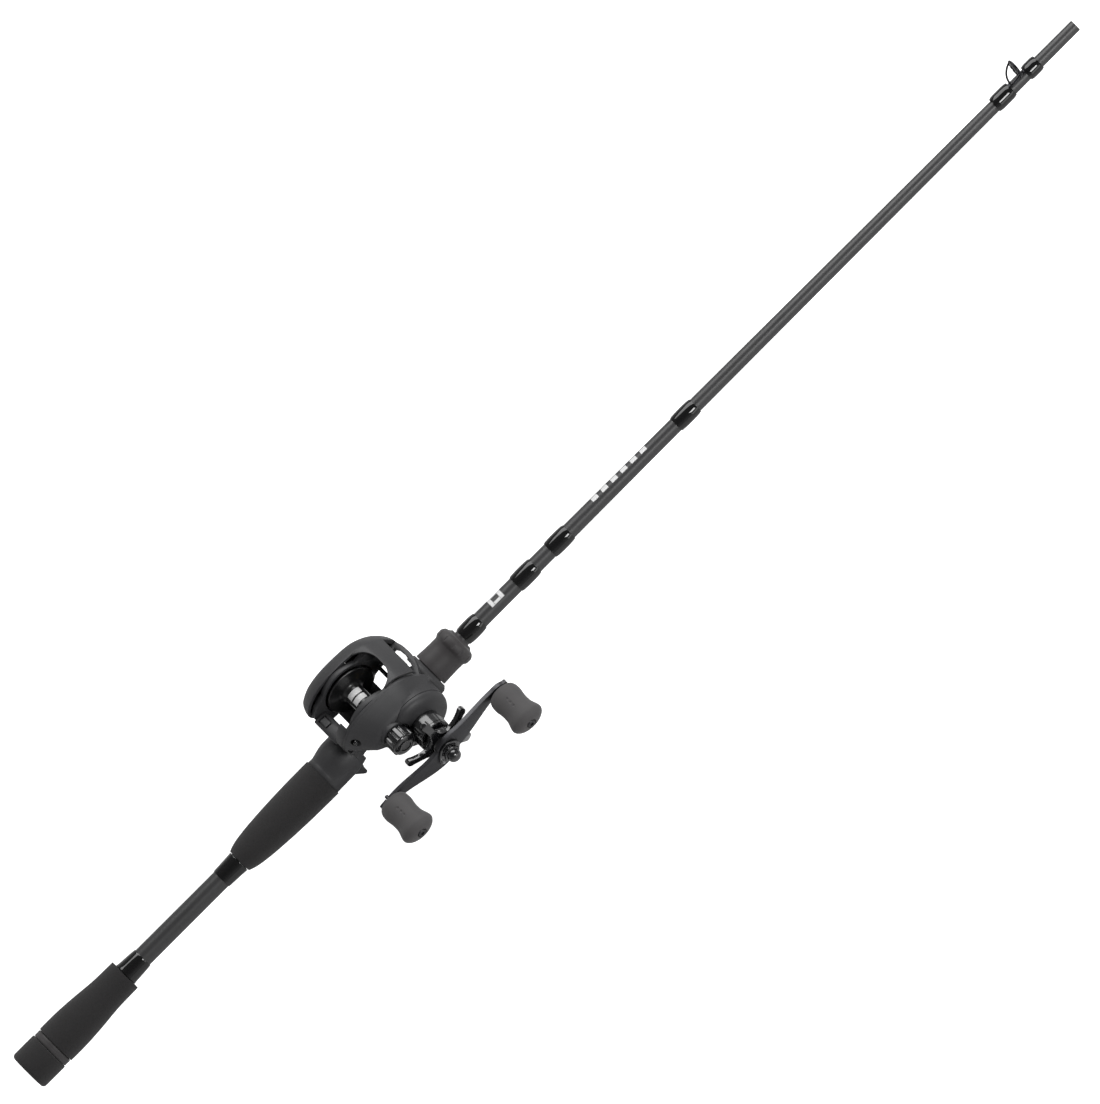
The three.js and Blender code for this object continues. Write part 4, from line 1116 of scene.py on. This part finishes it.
@dataclass
class LineGuide:
    """The first line guide: a leaning wire ring on three legs, with a ceramic insert and its windings."""

    ring: float = 5.6
    wire: float = 0.75
    lean: float = 0.18

    def on_ring(self, angle: float) -> Point3:
        """A point on the leaning hoop."""
        gx, _, gz = GUIDE_RING
        rise = self.ring * math.sin(angle)
        return (gx + math.sin(self.lean) * rise, self.ring * math.cos(angle), gz + math.cos(self.lean) * rise)

    def leaned(self, name: str, profile: list[Point2]) -> bpy.types.Object:
        """Turns a profile about X and leans it as the hoop leans."""
        made = turned(name, profile, Axis.ROD, GUIDE_RING, 72)
        centre = Matrix.Translation(Vector(GUIDE_RING) * MM)
        made.data.transform(centre @ Matrix.Rotation(self.lean, 4, "Y") @ centre.inverted())
        return made

    def build_frame(self) -> bpy.types.Object:
        """Bends and joins the guide's wire frame."""
        gx, _, gz = GUIDE_RING
        section = [(self.wire * math.sin(t), self.ring + self.wire * math.cos(t))
                   for t in (2 * math.pi * i / 16 for i in range(16))]
        frame = self.leaned("guide_wire_frame", section)
        top = blank_radius(gx) + GAP
        for side in (-1, 1):
            hx, hy, hz = self.on_ring(math.pi / 2 - side * 1.45)
            path = [(hx, hy, hz), (gx - 3.4, side * 5.4, gz - 1.0), (gx - 7.4, side * 4.0, gz - 4.2),
                    (gx - 7.8, side * 0.5, top + 0.75)]
            join(frame, rod_of("leg", path, self.wire * 0.85))
        bx, _, bz = self.on_ring(-math.pi / 2)
        front = rod_of("leg", [(bx, 0, bz), (gx - 0.3, 0, bz - 0.8), (gx + 0.8, 0, gz - self.ring - 1.6),
                               (gx + 2.4, 0, top + 0.7)], self.wire * 0.85)
        rear_foot = block("foot", (gx - 22, -1, top + 0.1), (gx - 7.4, 1, top + 0.8))
        front_foot = block("foot", (gx + 1.8, -1, top + 0.1), (gx + 11.5, 1, top + 0.8))
        join(frame, front, soften(rear_foot, 0.25, 2), soften(front_foot, 0.25, 2))
        return soften(frame, 0, angle=45)

    def winding(self, name: str, x0: float, x1: float, peak: float) -> bpy.types.Object:
        """A winding over a foot, thicker on the foot's side."""
        steps = 12
        outside = []
        for i in range(steps + 1):
            t = i / steps
            swell = min(1.0, 5.5 * t * (1 - t)) ** 0.6
            outside.append((x0 + (x1 - x0) * t, peak - 0.55 + 0.55 * swell))
        lump = turned(name, [(x0, 0), *outside, (x1, 0)], Axis.ROD, (0, 0, 0.5), 72)
        bore = blank_radius(x0) + GAP
        hole = turned("hole", [(x0 - 1, 0), (x0 - 1, bore), (x1 + 1, bore), (x1 + 1, 0)], Axis.ROD, sides=72)
        slot = block("slot", (x0 - 3, -1.3, 0), (x1 + 3, 1.3, bore + 1.1))
        return soften(cut(lump, hole, slot), 0, angle=40)

    def build(self) -> None:
        """Builds and dresses the guide."""
        fit(self.build_frame(), "anodised", Body.ROD, "guide_frame")
        outer = self.ring - self.wire - GAP
        bead = [(-1.1, outer - 0.9), (-1.1, outer - 0.5), (-0.9, outer - 0.2), (-0.5, outer), (0.5, outer),
                (0.9, outer - 0.2), (1.1, outer - 0.5), (1.1, outer - 0.9), (0.6, outer - 1.0), (-0.6, outer - 1.0)]
        fit(soften(self.leaned("guide_ceramic_ring", bead), 0, angle=50), "ceramic", Body.ROD, "guide_insert")
        fit(self.winding("coat_guide_rear", 799.7, 813.6, 5.3), "epoxy", Body.ROD, "guide_winding_rear")
        fit(self.winding("coat_guide_front", 826, 836, 5.25), "epoxy", Body.ROD, "guide_winding_front")


# ---------------------------------------------------------------- reel


def at_spool(points: list[Point2]) -> list[Point2]:
    """Moves X and Z points from the spool's axis to where they are."""
    sx, _, sz = SPOOL_AXIS
    return [(sx + x, sz + z) for x, z in points]


def at_crank(points: list[Point2]) -> list[Point2]:
    """Moves X and Z points from the crank's axis to where they are."""
    cx, _, cz = CRANK_AXIS
    return [(cx + x, cz + z) for x, z in points]


def circle(radius: float, sides: int) -> list[Point2]:
    """Points on a circle about the origin."""
    return [(radius * math.cos(2 * math.pi * i / sides), radius * math.sin(2 * math.pi * i / sides))
            for i in range(sides)]


BODY_OUTLINE: list[Point2] = at_spool(blend_curve([
    (-28, 6), (-20, 14.5), (-10, 18.6), (0, 19.8), (10, 19.5), (18, 18.4), (24.5, 15.9), (30, 11.2), (34.2, 5.6),
    (37.4, -1), (38.4, -5.5), (36.5, -9.2), (29, -11), (20, -12.5), (13, -15.5), (4, -18.3), (-6, -18.2),
    (-14, -15.2), (-21, -9), (-27, -2)], 7, closed=True))
PALM_WALL: Point2 = (13.2, 16.4)
HANDLE_WALL: Point2 = (-15.1, -11.9)
GEAR_FACE = -27.9
YOKE_TURN = math.atan2(16, 10)


def yoke_room() -> bpy.types.Object:
    """The space that the clutch yoke sweeps, as a cutting tool."""
    sx, _, sz = SPOOL_AXIS
    swept = [(-10, -2.9), (10, -2.9), (10, 2.9), (4.2, 5.2), (-4.2, 5.2), (-10, 2.9)]
    c, s = math.cos(YOKE_TURN), math.sin(YOKE_TURN)
    return plate("yoke_room", [(sx + x * c - z * s, sz + x * s + z * c) for x, z in swept], -28.5, -14)


@dataclass
class ReelBody:
    """The side covers, the frame, the front cowl and the foot."""

    wall: float = 1.6
    palm_stations: list[Station] = field(default_factory=lambda: [
        Station(16.7, 1, 1), Station(17.6, 0.998, 0.988), Station(19, 0.99, 0.965), Station(20.5, 0.977, 0.935),
        Station(22, 0.96, 0.9), Station(23.8, 0.932, 0.854), Station(25.5, 0.895, 0.8), Station(26.7, 0.845, 0.74),
        Station(27.6, 0.78, 0.67), Station(28.3, 0.7, 0.595), Station(28.6, 0.62, 0.52)])
    handle_stations: list[Station] = field(default_factory=lambda: [
        Station(-15.4, 0.96, 0.945), Station(-17.2, 0.957, 0.935), Station(-17.7, 0.938, 0.908),
        Station(-20.4, 0.878, 0.826), Station(-22.7, 0.82, 0.75), Station(-25.4, 0.764, 0.677),
        Station(-27.6, 0.714, 0.618), Station(-29, 0.685, 0.58), Station(-30.1, 0.64, 0.525),
        Station(-30.6, 0.6, 0.48)])

    def hollowed(self, stations: list[Station]) -> list[Station]:
        """The same stations drawn in by the wall's thickness."""
        out = math.copysign(1, stations[0].y)
        made = []
        for i, at in enumerate(stations):
            shift = 2 if i == 0 else self.wall
            made.append(Station(at.y - out * shift, at.across - self.wall / 24, at.up - self.wall / 18))
        return made

    def build_palm_cover(self) -> bpy.types.Object:
        """Builds the cover on the palm's side."""
        about = (SPOOL_AXIS[0] - 2, SPOOL_AXIS[2])
        cover = lofted("palm_side_cover", BODY_OUTLINE, self.palm_stations, about)
        inner = lofted("inner", BODY_OUTLINE, self.hollowed(self.palm_stations), about)
        cut(cover, inner, drill(24, 32, 8.7, SPOOL_AXIS, 72))
        return soften(cover, 0.3, 2, 38)

    def build_handle_cover(self) -> bpy.types.Object:
        """Builds the cover on the handle's side, with its gear housing and the cap's threaded collar."""
        about = (SPOOL_AXIS[0] + 14, SPOOL_AXIS[2] - 3)
        cover = lofted("handle_side_cover", BODY_OUTLINE, self.handle_stations, about)
        join(cover, drill(GEAR_FACE, -15.4, 20.4, CRANK_AXIS, 96))
        cut(cover, lofted("inner", BODY_OUTLINE, self.hollowed(self.handle_stations), about))
        cut(cover, drill(GEAR_FACE - 1, -10, 19.1, CRANK_AXIS, 96), drill(-40, GEAR_FACE, 20.5, CRANK_AXIS, 96))
        join(cover, drill(-32.2, -28.8, 9.2, SPOOL_AXIS, 64), drill(-39.5, -28.8, 6.2, SPOOL_AXIS, 64))
        bore = turned("bore", [(-50, 0), (-50, 1.9), (-36.5, 1.9), (-36.5, 4.3), (-20, 4.3), (-20, 0)],
                      Axis.REEL, SPOOL_AXIS, 48)
        sx, _, sz = SPOOL_AXIS
        screw_at = (sx - 19.5, 0, sz + 7.2)
        tab_room = block("tab_room", (sx - 26.4, -17.9, sz - 7.4), (sx - 20.6, -10, sz + 1.4))
        cut(cover, bore, yoke_room(), drill(-40, -10, 2.3, screw_at, 32), tab_room)
        return soften(cover, 0.35, 3, 36)

    def build_gear_cover(self) -> bpy.types.Object:
        """Turns the domed cover over the drive gear."""
        seat = GEAR_FACE - GAP
        outside = [(seat, 20.2), (-29.3, 20.2), (-30.2, 20.0), (-31.5, 19.3), (-32.5, 18.1), (-33.3, 16.3),
                   (-34.0, 13.8), (-34.4, 11.6), (-34.6, 10.8)]
        inside = [(-34.6, 8.6), (-33.6, 8.6), (-31.9, 15.4), (-30.3, 18.0), (seat, 18.4)]
        cover = turned("gear_dome", [*outside, *inside], Axis.REEL, CRANK_AXIS, 128)
        cut(cover, drill(-50, -10, 9.6, SPOOL_AXIS, 72), yoke_room())
        return soften(cover, 0, 2, 38)

    def build_boss(self) -> bpy.types.Object:
        """Turns the boss that holds the one-way bearing, with a groove below its rim."""
        profile = [(-34.65, 8.6), (-34.65, 10.5), (-34.9, 10.7), (-43.6, 10.5), (-43.8, 10.2), (-44.2, 10.2),
                   (-44.4, 10.5), (-45.3, 10.5), (-45.6, 10.2), (-45.6, 5.8), (-44.4, 5.8), (-44.4, 8.6)]
        boss = turned("clutch_boss", profile, Axis.REEL, CRANK_AXIS, 96)
        return soften(cut(boss, drill(-50, -10, 9.6, SPOOL_AXIS, 72)), 0, angle=35)

    def build_cowl(self) -> bpy.types.Object:
        """Builds the cowl over the line guide, its rear edge rounded to clear the thumb."""
        sx, _, sz = SPOOL_AXIS
        top = blend_curve([(13.5, 19.05), (20, 18.4), (24.5, 16.9), (29.5, 13.0), (34, 8.2)], 5)
        under = blend_curve([(33.3, 7.0), (28.9, 11.5), (24, 15.4), (19.6, 16.8), (13.3, 17.4)], 5)
        band = plate("front_cowl_shell", at_spool([*top, *under]), HANDLE_WALL[0], PALM_WALL[1])
        half_long, half_wide, middle, squareness = 24.4, 17.6, 0.65, 2.7
        oval = []
        for x, y in circle(1, 96):
            along = math.copysign(abs(x) ** (2 / squareness), x)
            across = math.copysign(abs(y) ** (2 / squareness), y)
            oval.append((sx + half_long * along, middle + half_wide * across))
        room = slab("thumb_room", oval, sz - 5, sz + 40)
        return soften(cut(band, room), 0.45, 3, 38)

    def build_foot(self) -> bpy.types.Object:
        """Builds the foot that the seat's hoods hold."""
        z1 = SPOOL_AXIS[2] - 19.2
        half, x0, x1 = 7.0, 260.0, 331.0
        ends = [(math.cos(t), math.sin(t)) for t in (math.pi * (i / 12 - 0.5) for i in range(13))]
        shape = [(x1 - 9 + 9 * c, half * s) for c, s in ends] + [(x0 + 9 - 9 * c, -half * s) for c, s in ends]
        return soften(slab("foot_plate", shape, z1 - 1.4, z1), 0.25, 2)

    def build_frame(self, frame_node: bpy.types.Object) -> bpy.types.Object:
        """Rounds the edges of the one-piece frame."""
        return soften(copied(frame_node, "one_piece_frame"), 0.3, 2, 30)

    def build(self, nodes: dict[str, bpy.types.Object]) -> None:
        """Builds and dresses the reel's body."""
        fit(self.build_palm_cover(), "matte_body", Body.ROD, "palm_cover")
        fit(self.build_handle_cover(), "matte_body", Body.ROD, "handle_cover")
        fit(self.build_gear_cover(), "matte_body", Body.ROD, "gear_cover")
        fit(self.build_boss(), "gloss_black", Body.ROD, "gear_cover")
        fit(self.build_cowl(), "matte_body", Body.ROD, "front_cowl")
        fit(self.build_foot(), "anodised", Body.ROD, "reel_foot")
        fit(self.build_frame(nodes["reel_frame"]), "matte_body", Body.ROD, "reel_frame")
        screw = soften(copied(nodes["cover_screw"], "side_screw"), 0.1, 2)
        fit(screw, "gloss_black", Body.ROD, "cover_screw")


@dataclass
class Spool:
    """The spool, its shaft and its label."""

    ends: Point2 = (-11.2, 12.2)
    radius: float = 16.5
    arbor: float = 6.3

    def build_spool(self) -> bpy.types.Object:
        """Turns the spool."""
        a, b = self.ends
        r = self.radius
        groove = blend_curve([(a + 1.6, 9), (a + 2.4, 7.3), (a + 4, self.arbor)], 3)
        far = blend_curve([(b - 4, self.arbor), (b - 2.4, 7.3), (b - 1.6, 9)], 3)
        profile = [(a, 2.1), (a, 13), (a, r - 0.4), (a + 0.15, r - 0.1), (a + 0.5, r), (a + 0.95, r - 0.05),
                   (a + 1.15, r - 0.3), *groove, *far, (b - 1.15, r - 0.3), (b - 0.95, r - 0.05), (b - 0.5, r),
                   (b - 0.15, r - 0.1), (b, r - 0.4), (b, 14.2), (b + 2.6, 14.2), (b + 2.6, 13.2), (b, 13.2),
                   (b - 0.6, 7), (b - 3, 4.4), (b - 3, 2.1)]
        return soften(turned("line_spool", profile, Axis.REEL, SPOOL_AXIS, 128), 0, angle=35)

    def build_shaft(self) -> bpy.types.Object:
        """Turns the spool's shaft."""
        profile = [(-40.4, 0), (-40.4, 0.9), (-39.6, 1.5), (-12, 1.5), (-11.4, 1.8), (10, 1.8), (12, 1.5),
                   (19.6, 1.5), (20.2, 0.9), (20.2, 0)]
        return soften(turned("spool_axle", profile, Axis.REEL, SPOOL_AXIS, 40), 0, angle=35)

    def build_label(self) -> bpy.types.Object:
        """Wraps a plain white label, with a stripe left out of it, round the arbor."""
        cx, cy, cz = SPOOL_AXIS
        inner, outer = self.arbor + 0.02, self.arbor + 0.1
        pieces = []
        for y0, y1, start, end in ((-2.5, 1.4, -43, 43), (2.6, 6.5, -43, 43)):
            turn = Matrix.Rotation(math.radians(start), 3, "Y")
            corners = [Vector((0, y, r)) for y, r in ((y0, inner), (y0, outer), (y1, outer), (y1, inner))]
            points = [tuple(Vector((cx, cy, cz)) + turn @ corner) for corner in corners]
            patch = outline_face("label", points)
            steps = max(4, round((end - start) / 3))
            bpy.ops.mesh.spin(steps=steps, angle=-math.radians(end - start), center=Vector(SPOOL_AXIS) * MM,
                              axis=(0, 1, 0))
            pieces.append(tidy_mesh(patch, 0.001))
        return soften(merged("arbor_label", pieces), 0, angle=50)

    def build(self) -> None:
        """Builds and dresses the spool."""
        fit(self.build_spool(), "spool_black", Body.SPOOL, "spool")
        fit(self.build_shaft(), "steel", Body.SPOOL, "spool_shaft")
        fit(self.build_label(), "print", Body.SPOOL)


@dataclass
class Controls:
    """The thumb bar, the spool tension cap and the brake dial."""

    cap_flutes: int = 12
    dial_teeth: int = 32

    def build_thumb_bar(self) -> bpy.types.Object:
        """Builds the thumb bar, with a rectangle cut round its pad."""
        sx, _, sz = SPOOL_AXIS
        outline = at_spool(blend_curve([(-28.4, 1.6), (-26, 2.5), (-22, 2.2), (-19.2, 0.6), (-19.4, -1.6),
                                        (-23.5, -2.2), (-27.8, -1.2)], 5, closed=True))
        bar = soften(plate("thumb_release_bar", outline, -7.9, PALM_WALL[0] - 0.4), 0.5, 3, 40)
        rim = block("rim", (sx - 26.8, 2.8, sz + 0.5), (sx - 21.0, 10.8, sz + 4))
        cut(rim, block("inner", (sx - 25.7, 3.9, sz + 0.2), (sx - 22.0, 9.7, sz + 5)))
        cut(bar, rim)
        tab = block("tab", (sx - 25.4, HANDLE_WALL[0] - 1.8, sz - 1.2), (sx - 21.6, -7, sz + 0.6))
        return soften(join(bar, tab), 0, angle=35)

    def build_cap(self) -> bpy.types.Object:
        """Builds the spool tension cap, fluted round its rim."""
        flutes = self.cap_flutes
        rim = []
        steps = 8
        for i in range(flutes * steps):
            turn = 2 * math.pi * i / (flutes * steps)
            wave = max(0.0, math.cos(flutes * turn)) ** 1.5
            rim.append(((8.3 - 0.75 * wave) * math.cos(turn), (8.3 - 0.75 * wave) * math.sin(turn)))
        cap = plate("tension_control_cap", at_spool(rim), -40.8, -32.6)
        dome = turned("dome", [(-40.4, 0), (-40.4, 7.75), (-41.1, 7.7), (-41.7, 7.3), (-42.2, 6.5), (-42.5, 5.4),
                               (-42.6, 3.8), (-42.25, 3.2), (-42.25, 0)], Axis.REEL, SPOOL_AXIS, 96)
        join(cap, dome)
        cut(cap, turned("room", [(-40.9, 0), (-40.9, 6.6), (-30, 6.6), (-30, 0)], Axis.REEL, SPOOL_AXIS, 64))
        return soften(cap, 0.25, 3, 30)

    def build_dial(self) -> bpy.types.Object:
        """Builds the brake dial, knurled, with a raised pointer."""
        teeth = self.dial_teeth
        rim = []
        for i in range(teeth * 4):
            turn = 2 * math.pi * i / (teeth * 4)
            r = 8.4 if i % 4 in (0, 1) else 8.1
            rim.append((r * math.cos(turn), r * math.sin(turn)))
        dial = soften(plate("cast_control_dial", at_spool(rim), 27.4, 30.2), 0.3, 2, 60)
        sx, _, sz = SPOOL_AXIS
        hollow = [(29.7, 0), (29.7, 6.4), (30.4, 6.9), (31, 6.9), (31, 0)]
        cut(dial, turned("hollow", hollow, Axis.REEL, SPOOL_AXIS, 72))
        pointer = block("pointer", (sx - 0.6, 29.4, sz - 6.8), (sx + 0.6, 30.8, sz + 7))
        turns = [2.96 + 0.36 * i / 6 for i in range(7)]
        arc = [(8.0 * math.cos(t), 8.0 * math.sin(t)) for t in turns]
        arc += [(7.2 * math.cos(t), 7.2 * math.sin(t)) for t in reversed(turns)]
        join(dial, soften(pointer, 0.25, 2), plate("leg", at_spool(arc), 17.6, 28.0))
        return soften(dial, 0, angle=35)

    def build_ticks(self) -> bpy.types.Object:
        """Raises a fan of plain ticks on the palm cover beside the dial."""
        sx, _, sz = SPOOL_AXIS
        ticks = []
        for i in range(9):
            turn = math.radians(-60 + 15 * i)
            end = 10.6 if i % 4 else 11.4
            tick = block("tick", (sx - 0.22, 28.55, sz + 9.3), (sx + 0.22, 28.72, sz + end))
            axle = Matrix.Translation(Vector((sx, 0, sz)) * MM)
            tick.data.transform(axle @ Matrix.Rotation(turn, 4, "Y") @ axle.inverted())
            ticks.append(tick)
        return soften(merged("dial_ticks", ticks), 0.05, 1)

    def build(self) -> None:
        """Builds and dresses the controls."""
        fit(self.build_thumb_bar(), "matte_body", Body.THUMB_BAR, "thumb_bar")
        fit(self.build_cap(), "gloss_black", Body.TENSION_CAP, "tension_cap")
        fit(self.build_dial(), "gloss_black", Body.BRAKE_DIAL, "brake_dial")
        fit(self.build_ticks(), "print", Body.ROD)


@dataclass
class Crank:
    """The star drag, the double handle, its nut and its knobs."""

    star_arms: int = 5
    star_curl: float = 2.4
    knob_flat: float = 0.66
    reach: float = 45.0
    sweep: float = 3.4
    bore: float = 4.3
    knob: list[Point2] = field(default_factory=lambda: [
        (-55.5, 5.6), (-56.0, 7.0), (-57.2, 8.5), (-58.8, 9.3), (-60.5, 9.7), (-64, 9.85), (-69, 9.2), (-74, 9.3),
        (-77, 10.0), (-79.6, 10.8), (-81.8, 11.1), (-83.2, 10.6), (-84.6, 9.4), (-85.8, 7.4), (-86.5, 4.6)])

    def build_star(self) -> bpy.types.Object:
        """Builds the drag star: blades that curve towards the reel, on a hub."""
        cx, _, cz = CRANK_AXIS
        hub, tip = 8.2, 24.4
        plan: list[Point2] = []
        half = [(8.9, 3.9), (12, 2.7), (16, 2.15), (tip - 4.5, 2.3), (tip - 2.2, 2.75), (tip - 0.8, 2.3),
                (tip - 0.1, 1.1)]
        for i in range(self.star_arms):
            mid = math.pi / 2 + 2 * math.pi * i / self.star_arms
            c, s = math.cos(mid), math.sin(mid)
            for r, side in [*((r, -w) for r, w in half), *((r, w) for r, w in reversed(half))]:
                plan.append((cx + r * c - side * s, cz + r * s + side * c))
        curved = [(self.star_curl * (max(0.0, r - hub) / (tip - hub)) ** 2, r)
                  for r in (0.0, hub, 11, 14, 17, 20, 22.5, 24.6)]
        face = [(-53.4 + rise, r) for rise, r in curved]
        back = [(-50.7 + rise, r) for rise, r in reversed(curved)]
        bowl = turned("star_drag_wheel", [*face, *back], Axis.REEL, CRANK_AXIS, 96)
        combine(bowl, plate("plan", plan, -57, -42), "INTERSECT")
        soften(bowl, 0.5, 3, 40)
        boss = turned("boss", [(-47.4, 0), (-47.4, hub), (-48.5, hub + 0.5), (-50.5, hub + 0.6), (-51.6, 8.2),
                               (-52.4, 7.5), (-53.2, 7.0), (-54.2, 6.7), (-54.8, 6.2), (-54.8, 0)],
                      Axis.REEL, CRANK_AXIS, 72)
        join(bowl, boss)
        cut(bowl, drill(-60, -40, self.bore, CRANK_AXIS, 48))
        return soften(bowl, 0, angle=40)

    def build_arm(self) -> bpy.types.Object:
        """Builds the swept double-ended arm."""
        cx, _, _ = CRANK_AXIS
        steps = 16
        half = []
        for i in range(steps + 1):
            t = i / steps
            half.append((9 + (self.reach - 12) * i / steps, self.sweep * t * t * (3 - 2 * t)))
        line = [(-52, self.sweep), *((-x, y) for x, y in reversed(half)), *half, (52, self.sweep)]
        outer = [(cx + x, y - 58.6) for x, y in line]
        inner = [(cx + x, y - 56.0) for x, y in reversed(line)]
        arm = slab("crank_arm", [*outer, *inner], CRANK_AXIS[2] - 15, CRANK_AXIS[2] + 15)
        side = [(50.2, 0), (49, 3.2), (45.5, 4.8), (40, 5.0), (30, 6.3), (20, 8.0), (12, 9.3), (6, 10.0), (0, 9.2),
                (-5, 7.4), (-9, 4.8)]
        plan = at_crank(blend_curve([*side, *((-x, -z) for x, z in side)], 5, closed=True))
        combine(arm, plate("plan", plan, -64, -48), "INTERSECT")
        cut(arm, drill(-64, -50, self.bore, CRANK_AXIS))
        for sign in (-1, 1):
            post = (CRANK_AXIS[0] + sign * self.reach, 0, CRANK_AXIS[2])
            cut(arm, drill(-70, -40, 1.5, post, 32))
        return soften(arm, 0.45, 3, 35)

    def build_retainer(self) -> bpy.types.Object:
        """Builds the plate that keeps the nut from turning."""
        outline = at_crank(blend_curve([(-9.2, -3.2), (-7.2, -5.6), (0, -7.2), (5, -5.4), (7.6, 0), (5, 5.6),
                                        (0, 7.4), (-5.4, 4.4)], 6, closed=True))
        made = plate("nut_lock_plate", outline, -60.1, -58.9)
        screw_at = (CRANK_AXIS[0] - 7.2, 0, CRANK_AXIS[2] - 3.2)
        cut(made, drill(-62, -57, self.bore + 0.1, CRANK_AXIS), drill(-62, -57, 1.3, screw_at, 24))
        return soften(made, 0.25, 2)

    def build_nut(self) -> bpy.types.Object:
        """Builds the domed nut."""
        nut = soften(plate("crank_nut", at_crank(circle(5.6, 6)), -63.2, -61.2), 0.35, 3)
        dome = turned("dome", [(-62, 0), (-62, 4.2), (-64, 4.3), (-65.2, 4.15), (-66.2, 3.7), (-67, 2.95),
                               (-67.6, 1.9), (-67.85, 0.9), (-67.9, 0)], Axis.REEL, CRANK_AXIS, 64)
        join(nut, dome)
        return soften(cut(nut, drill(-66.5, -60, 2.9, CRANK_AXIS, 48)), 0, angle=35)

    def build_knob(self, name: str, sign: int) -> bpy.types.Object:
        """Builds a flattened paddle knob with three dimples on its face.

        Args:
            name: the knob's name.
            sign: -1 for the rear knob, 1 for the front one.

        Returns:
            The knob.
        """
        centre = (CRANK_AXIS[0] + sign * self.reach, 0.0, CRANK_AXIS[2])
        cx, _, cz = centre
        outside = blend_curve(self.knob, 3)
        knob = turned(name, [(-55.5, 0), *outside, (-86.5, 0)], Axis.REEL, centre, 96)
        pick(knob)
        bpy.ops.object.mode_set(mode="EDIT")
        bpy.ops.mesh.select_all(action="SELECT")
        bpy.ops.transform.resize(value=(1, 1, self.knob_flat), center_override=Vector(centre) * MM)
        bpy.ops.object.mode_set(mode="OBJECT")
        recess = [(-87, 0), (-87, 3.4), (-86.1, 3.2), (-84.2, 3.2), (-84.2, 2.2), (-50, 2.2), (-50, 0)]
        cut(knob, turned("recess", recess, Axis.REEL, centre, 40))
        for y in (-66.4, -69.4, -72.4):
            for face in (-1, 1):
                depth = (9.55 if y > -68 else 9.2) * self.knob_flat
                clear_selection()
                bpy.ops.mesh.primitive_uv_sphere_add(segments=24, ring_count=12, radius=1.5 * MM,
                                                     location=Vector((cx, y, cz + face * (depth + 1.05))) * MM)
                cut(knob, bpy.context.object)
        return soften(knob, 0, angle=40)

    def build_post(self, name: str, sign: int) -> bpy.types.Object:
        """Turns a knob's post, with its domed cap."""
        centre = (CRANK_AXIS[0] + sign * self.reach, 0.0, CRANK_AXIS[2])
        bolt = [(-86.9, 0), (-86.9, 1.9), (-86.75, 2.3), (-86.3, 2.7), (-85.9, 2.8), (-84.5, 2.8), (-84.5, 1.8),
                (-55.6, 1.8), (-55.5, 1.2), (-51.2, 1.2), (-51.2, 0)]
        post = turned(name, bolt, Axis.REEL, centre, 40)
        socket = plate("socket", [(centre[0] + x, centre[2] + z) for x, z in circle(1.25, 6)], -88, -86.2)
        return soften(cut(post, socket), 0, angle=35)

    def build(self) -> None:
        """Builds and dresses the crank."""
        fit(self.build_star(), "gloss_black", Body.STAR, "star_drag")
        fit(self.build_arm(), "gunmetal", Body.CRANK, "handle_arm")
        fit(self.build_retainer(), "gloss_black", Body.CRANK, "nut_retainer")
        fit(self.build_nut(), "gloss_black", Body.CRANK, "handle_nut")
        for sign, side, body in ((-1, "rear", Body.KNOB_REAR), (1, "front", Body.KNOB_FRONT)):
            fit(self.build_knob("paddle_knob_" + side, sign), "knob_rubber", body, "knob_" + side)
            fit(self.build_post("knob_axle_" + side, sign), "gunmetal", Body.CRANK, "knob_post_" + side)


@dataclass
class LevelWind:
    """The carriage that lays the line across the spool."""

    def build(self, nodes: dict[str, bpy.types.Object]) -> None:
        """Builds and dresses the carriage and its line eye."""
        carriage = soften(copied(nodes["line_carriage"], "line_guide_carriage"), 0.2, 2, 30)
        fit(carriage, "matte_body", Body.CARRIAGE, "line_carriage")
        centre = (SPOOL_AXIS[0] + 33.0, 0.65, SPOOL_AXIS[2] + 3.0)
        bead = [(-0.9, 0.95), (-1.1, 1.15), (-0.9, 1.36), (0.8, 1.36), (1.0, 1.15), (0.8, 0.95)]
        eye = turned("line_eye_ring", bead, Axis.ROD, centre, 40)
        fit(soften(eye, 0, angle=50), "ceramic", Body.CARRIAGE)


# ---------------------------------------------------------------- assembly


def dress_nodes(nodes: dict[str, bpy.types.Object]) -> None:
    """Gives each frame node the finish of its slot."""
    for name, obj in nodes.items():
        for i, slot in enumerate(obj.material_slots):
            finish = slot.material.name.split(".")[0] if slot.material else ""
            if finish in MATERIALS:
                obj.data.materials[i] = MATERIALS[finish]
                LOG.info("%s: dressed in %s", name, finish)
            else:
                LOG.warning("%s: no finish named %s", name, finish)


def corners() -> list[list[float]]:
    """The whole object's lowest and highest corners, in metres."""
    return [[float(v) for v in corner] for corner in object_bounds()]


def main() -> None:
    """Loads the frame, then builds each sub-assembly in order."""
    logging.basicConfig(level=logging.INFO, format="%(name)s: %(message)s")
    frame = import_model()
    nodes = frame["nodes"]
    mix_finishes()
    Studio().build()
    dress_nodes(nodes)
    Blank().build()
    Grips().build()
    ReelSeat().build()
    LineGuide().build()
    ReelBody().build(nodes)
    Spool().build()
    Controls().build()
    Crank().build()
    LevelWind().build(nodes)


if __name__ == "__main__":
    main()
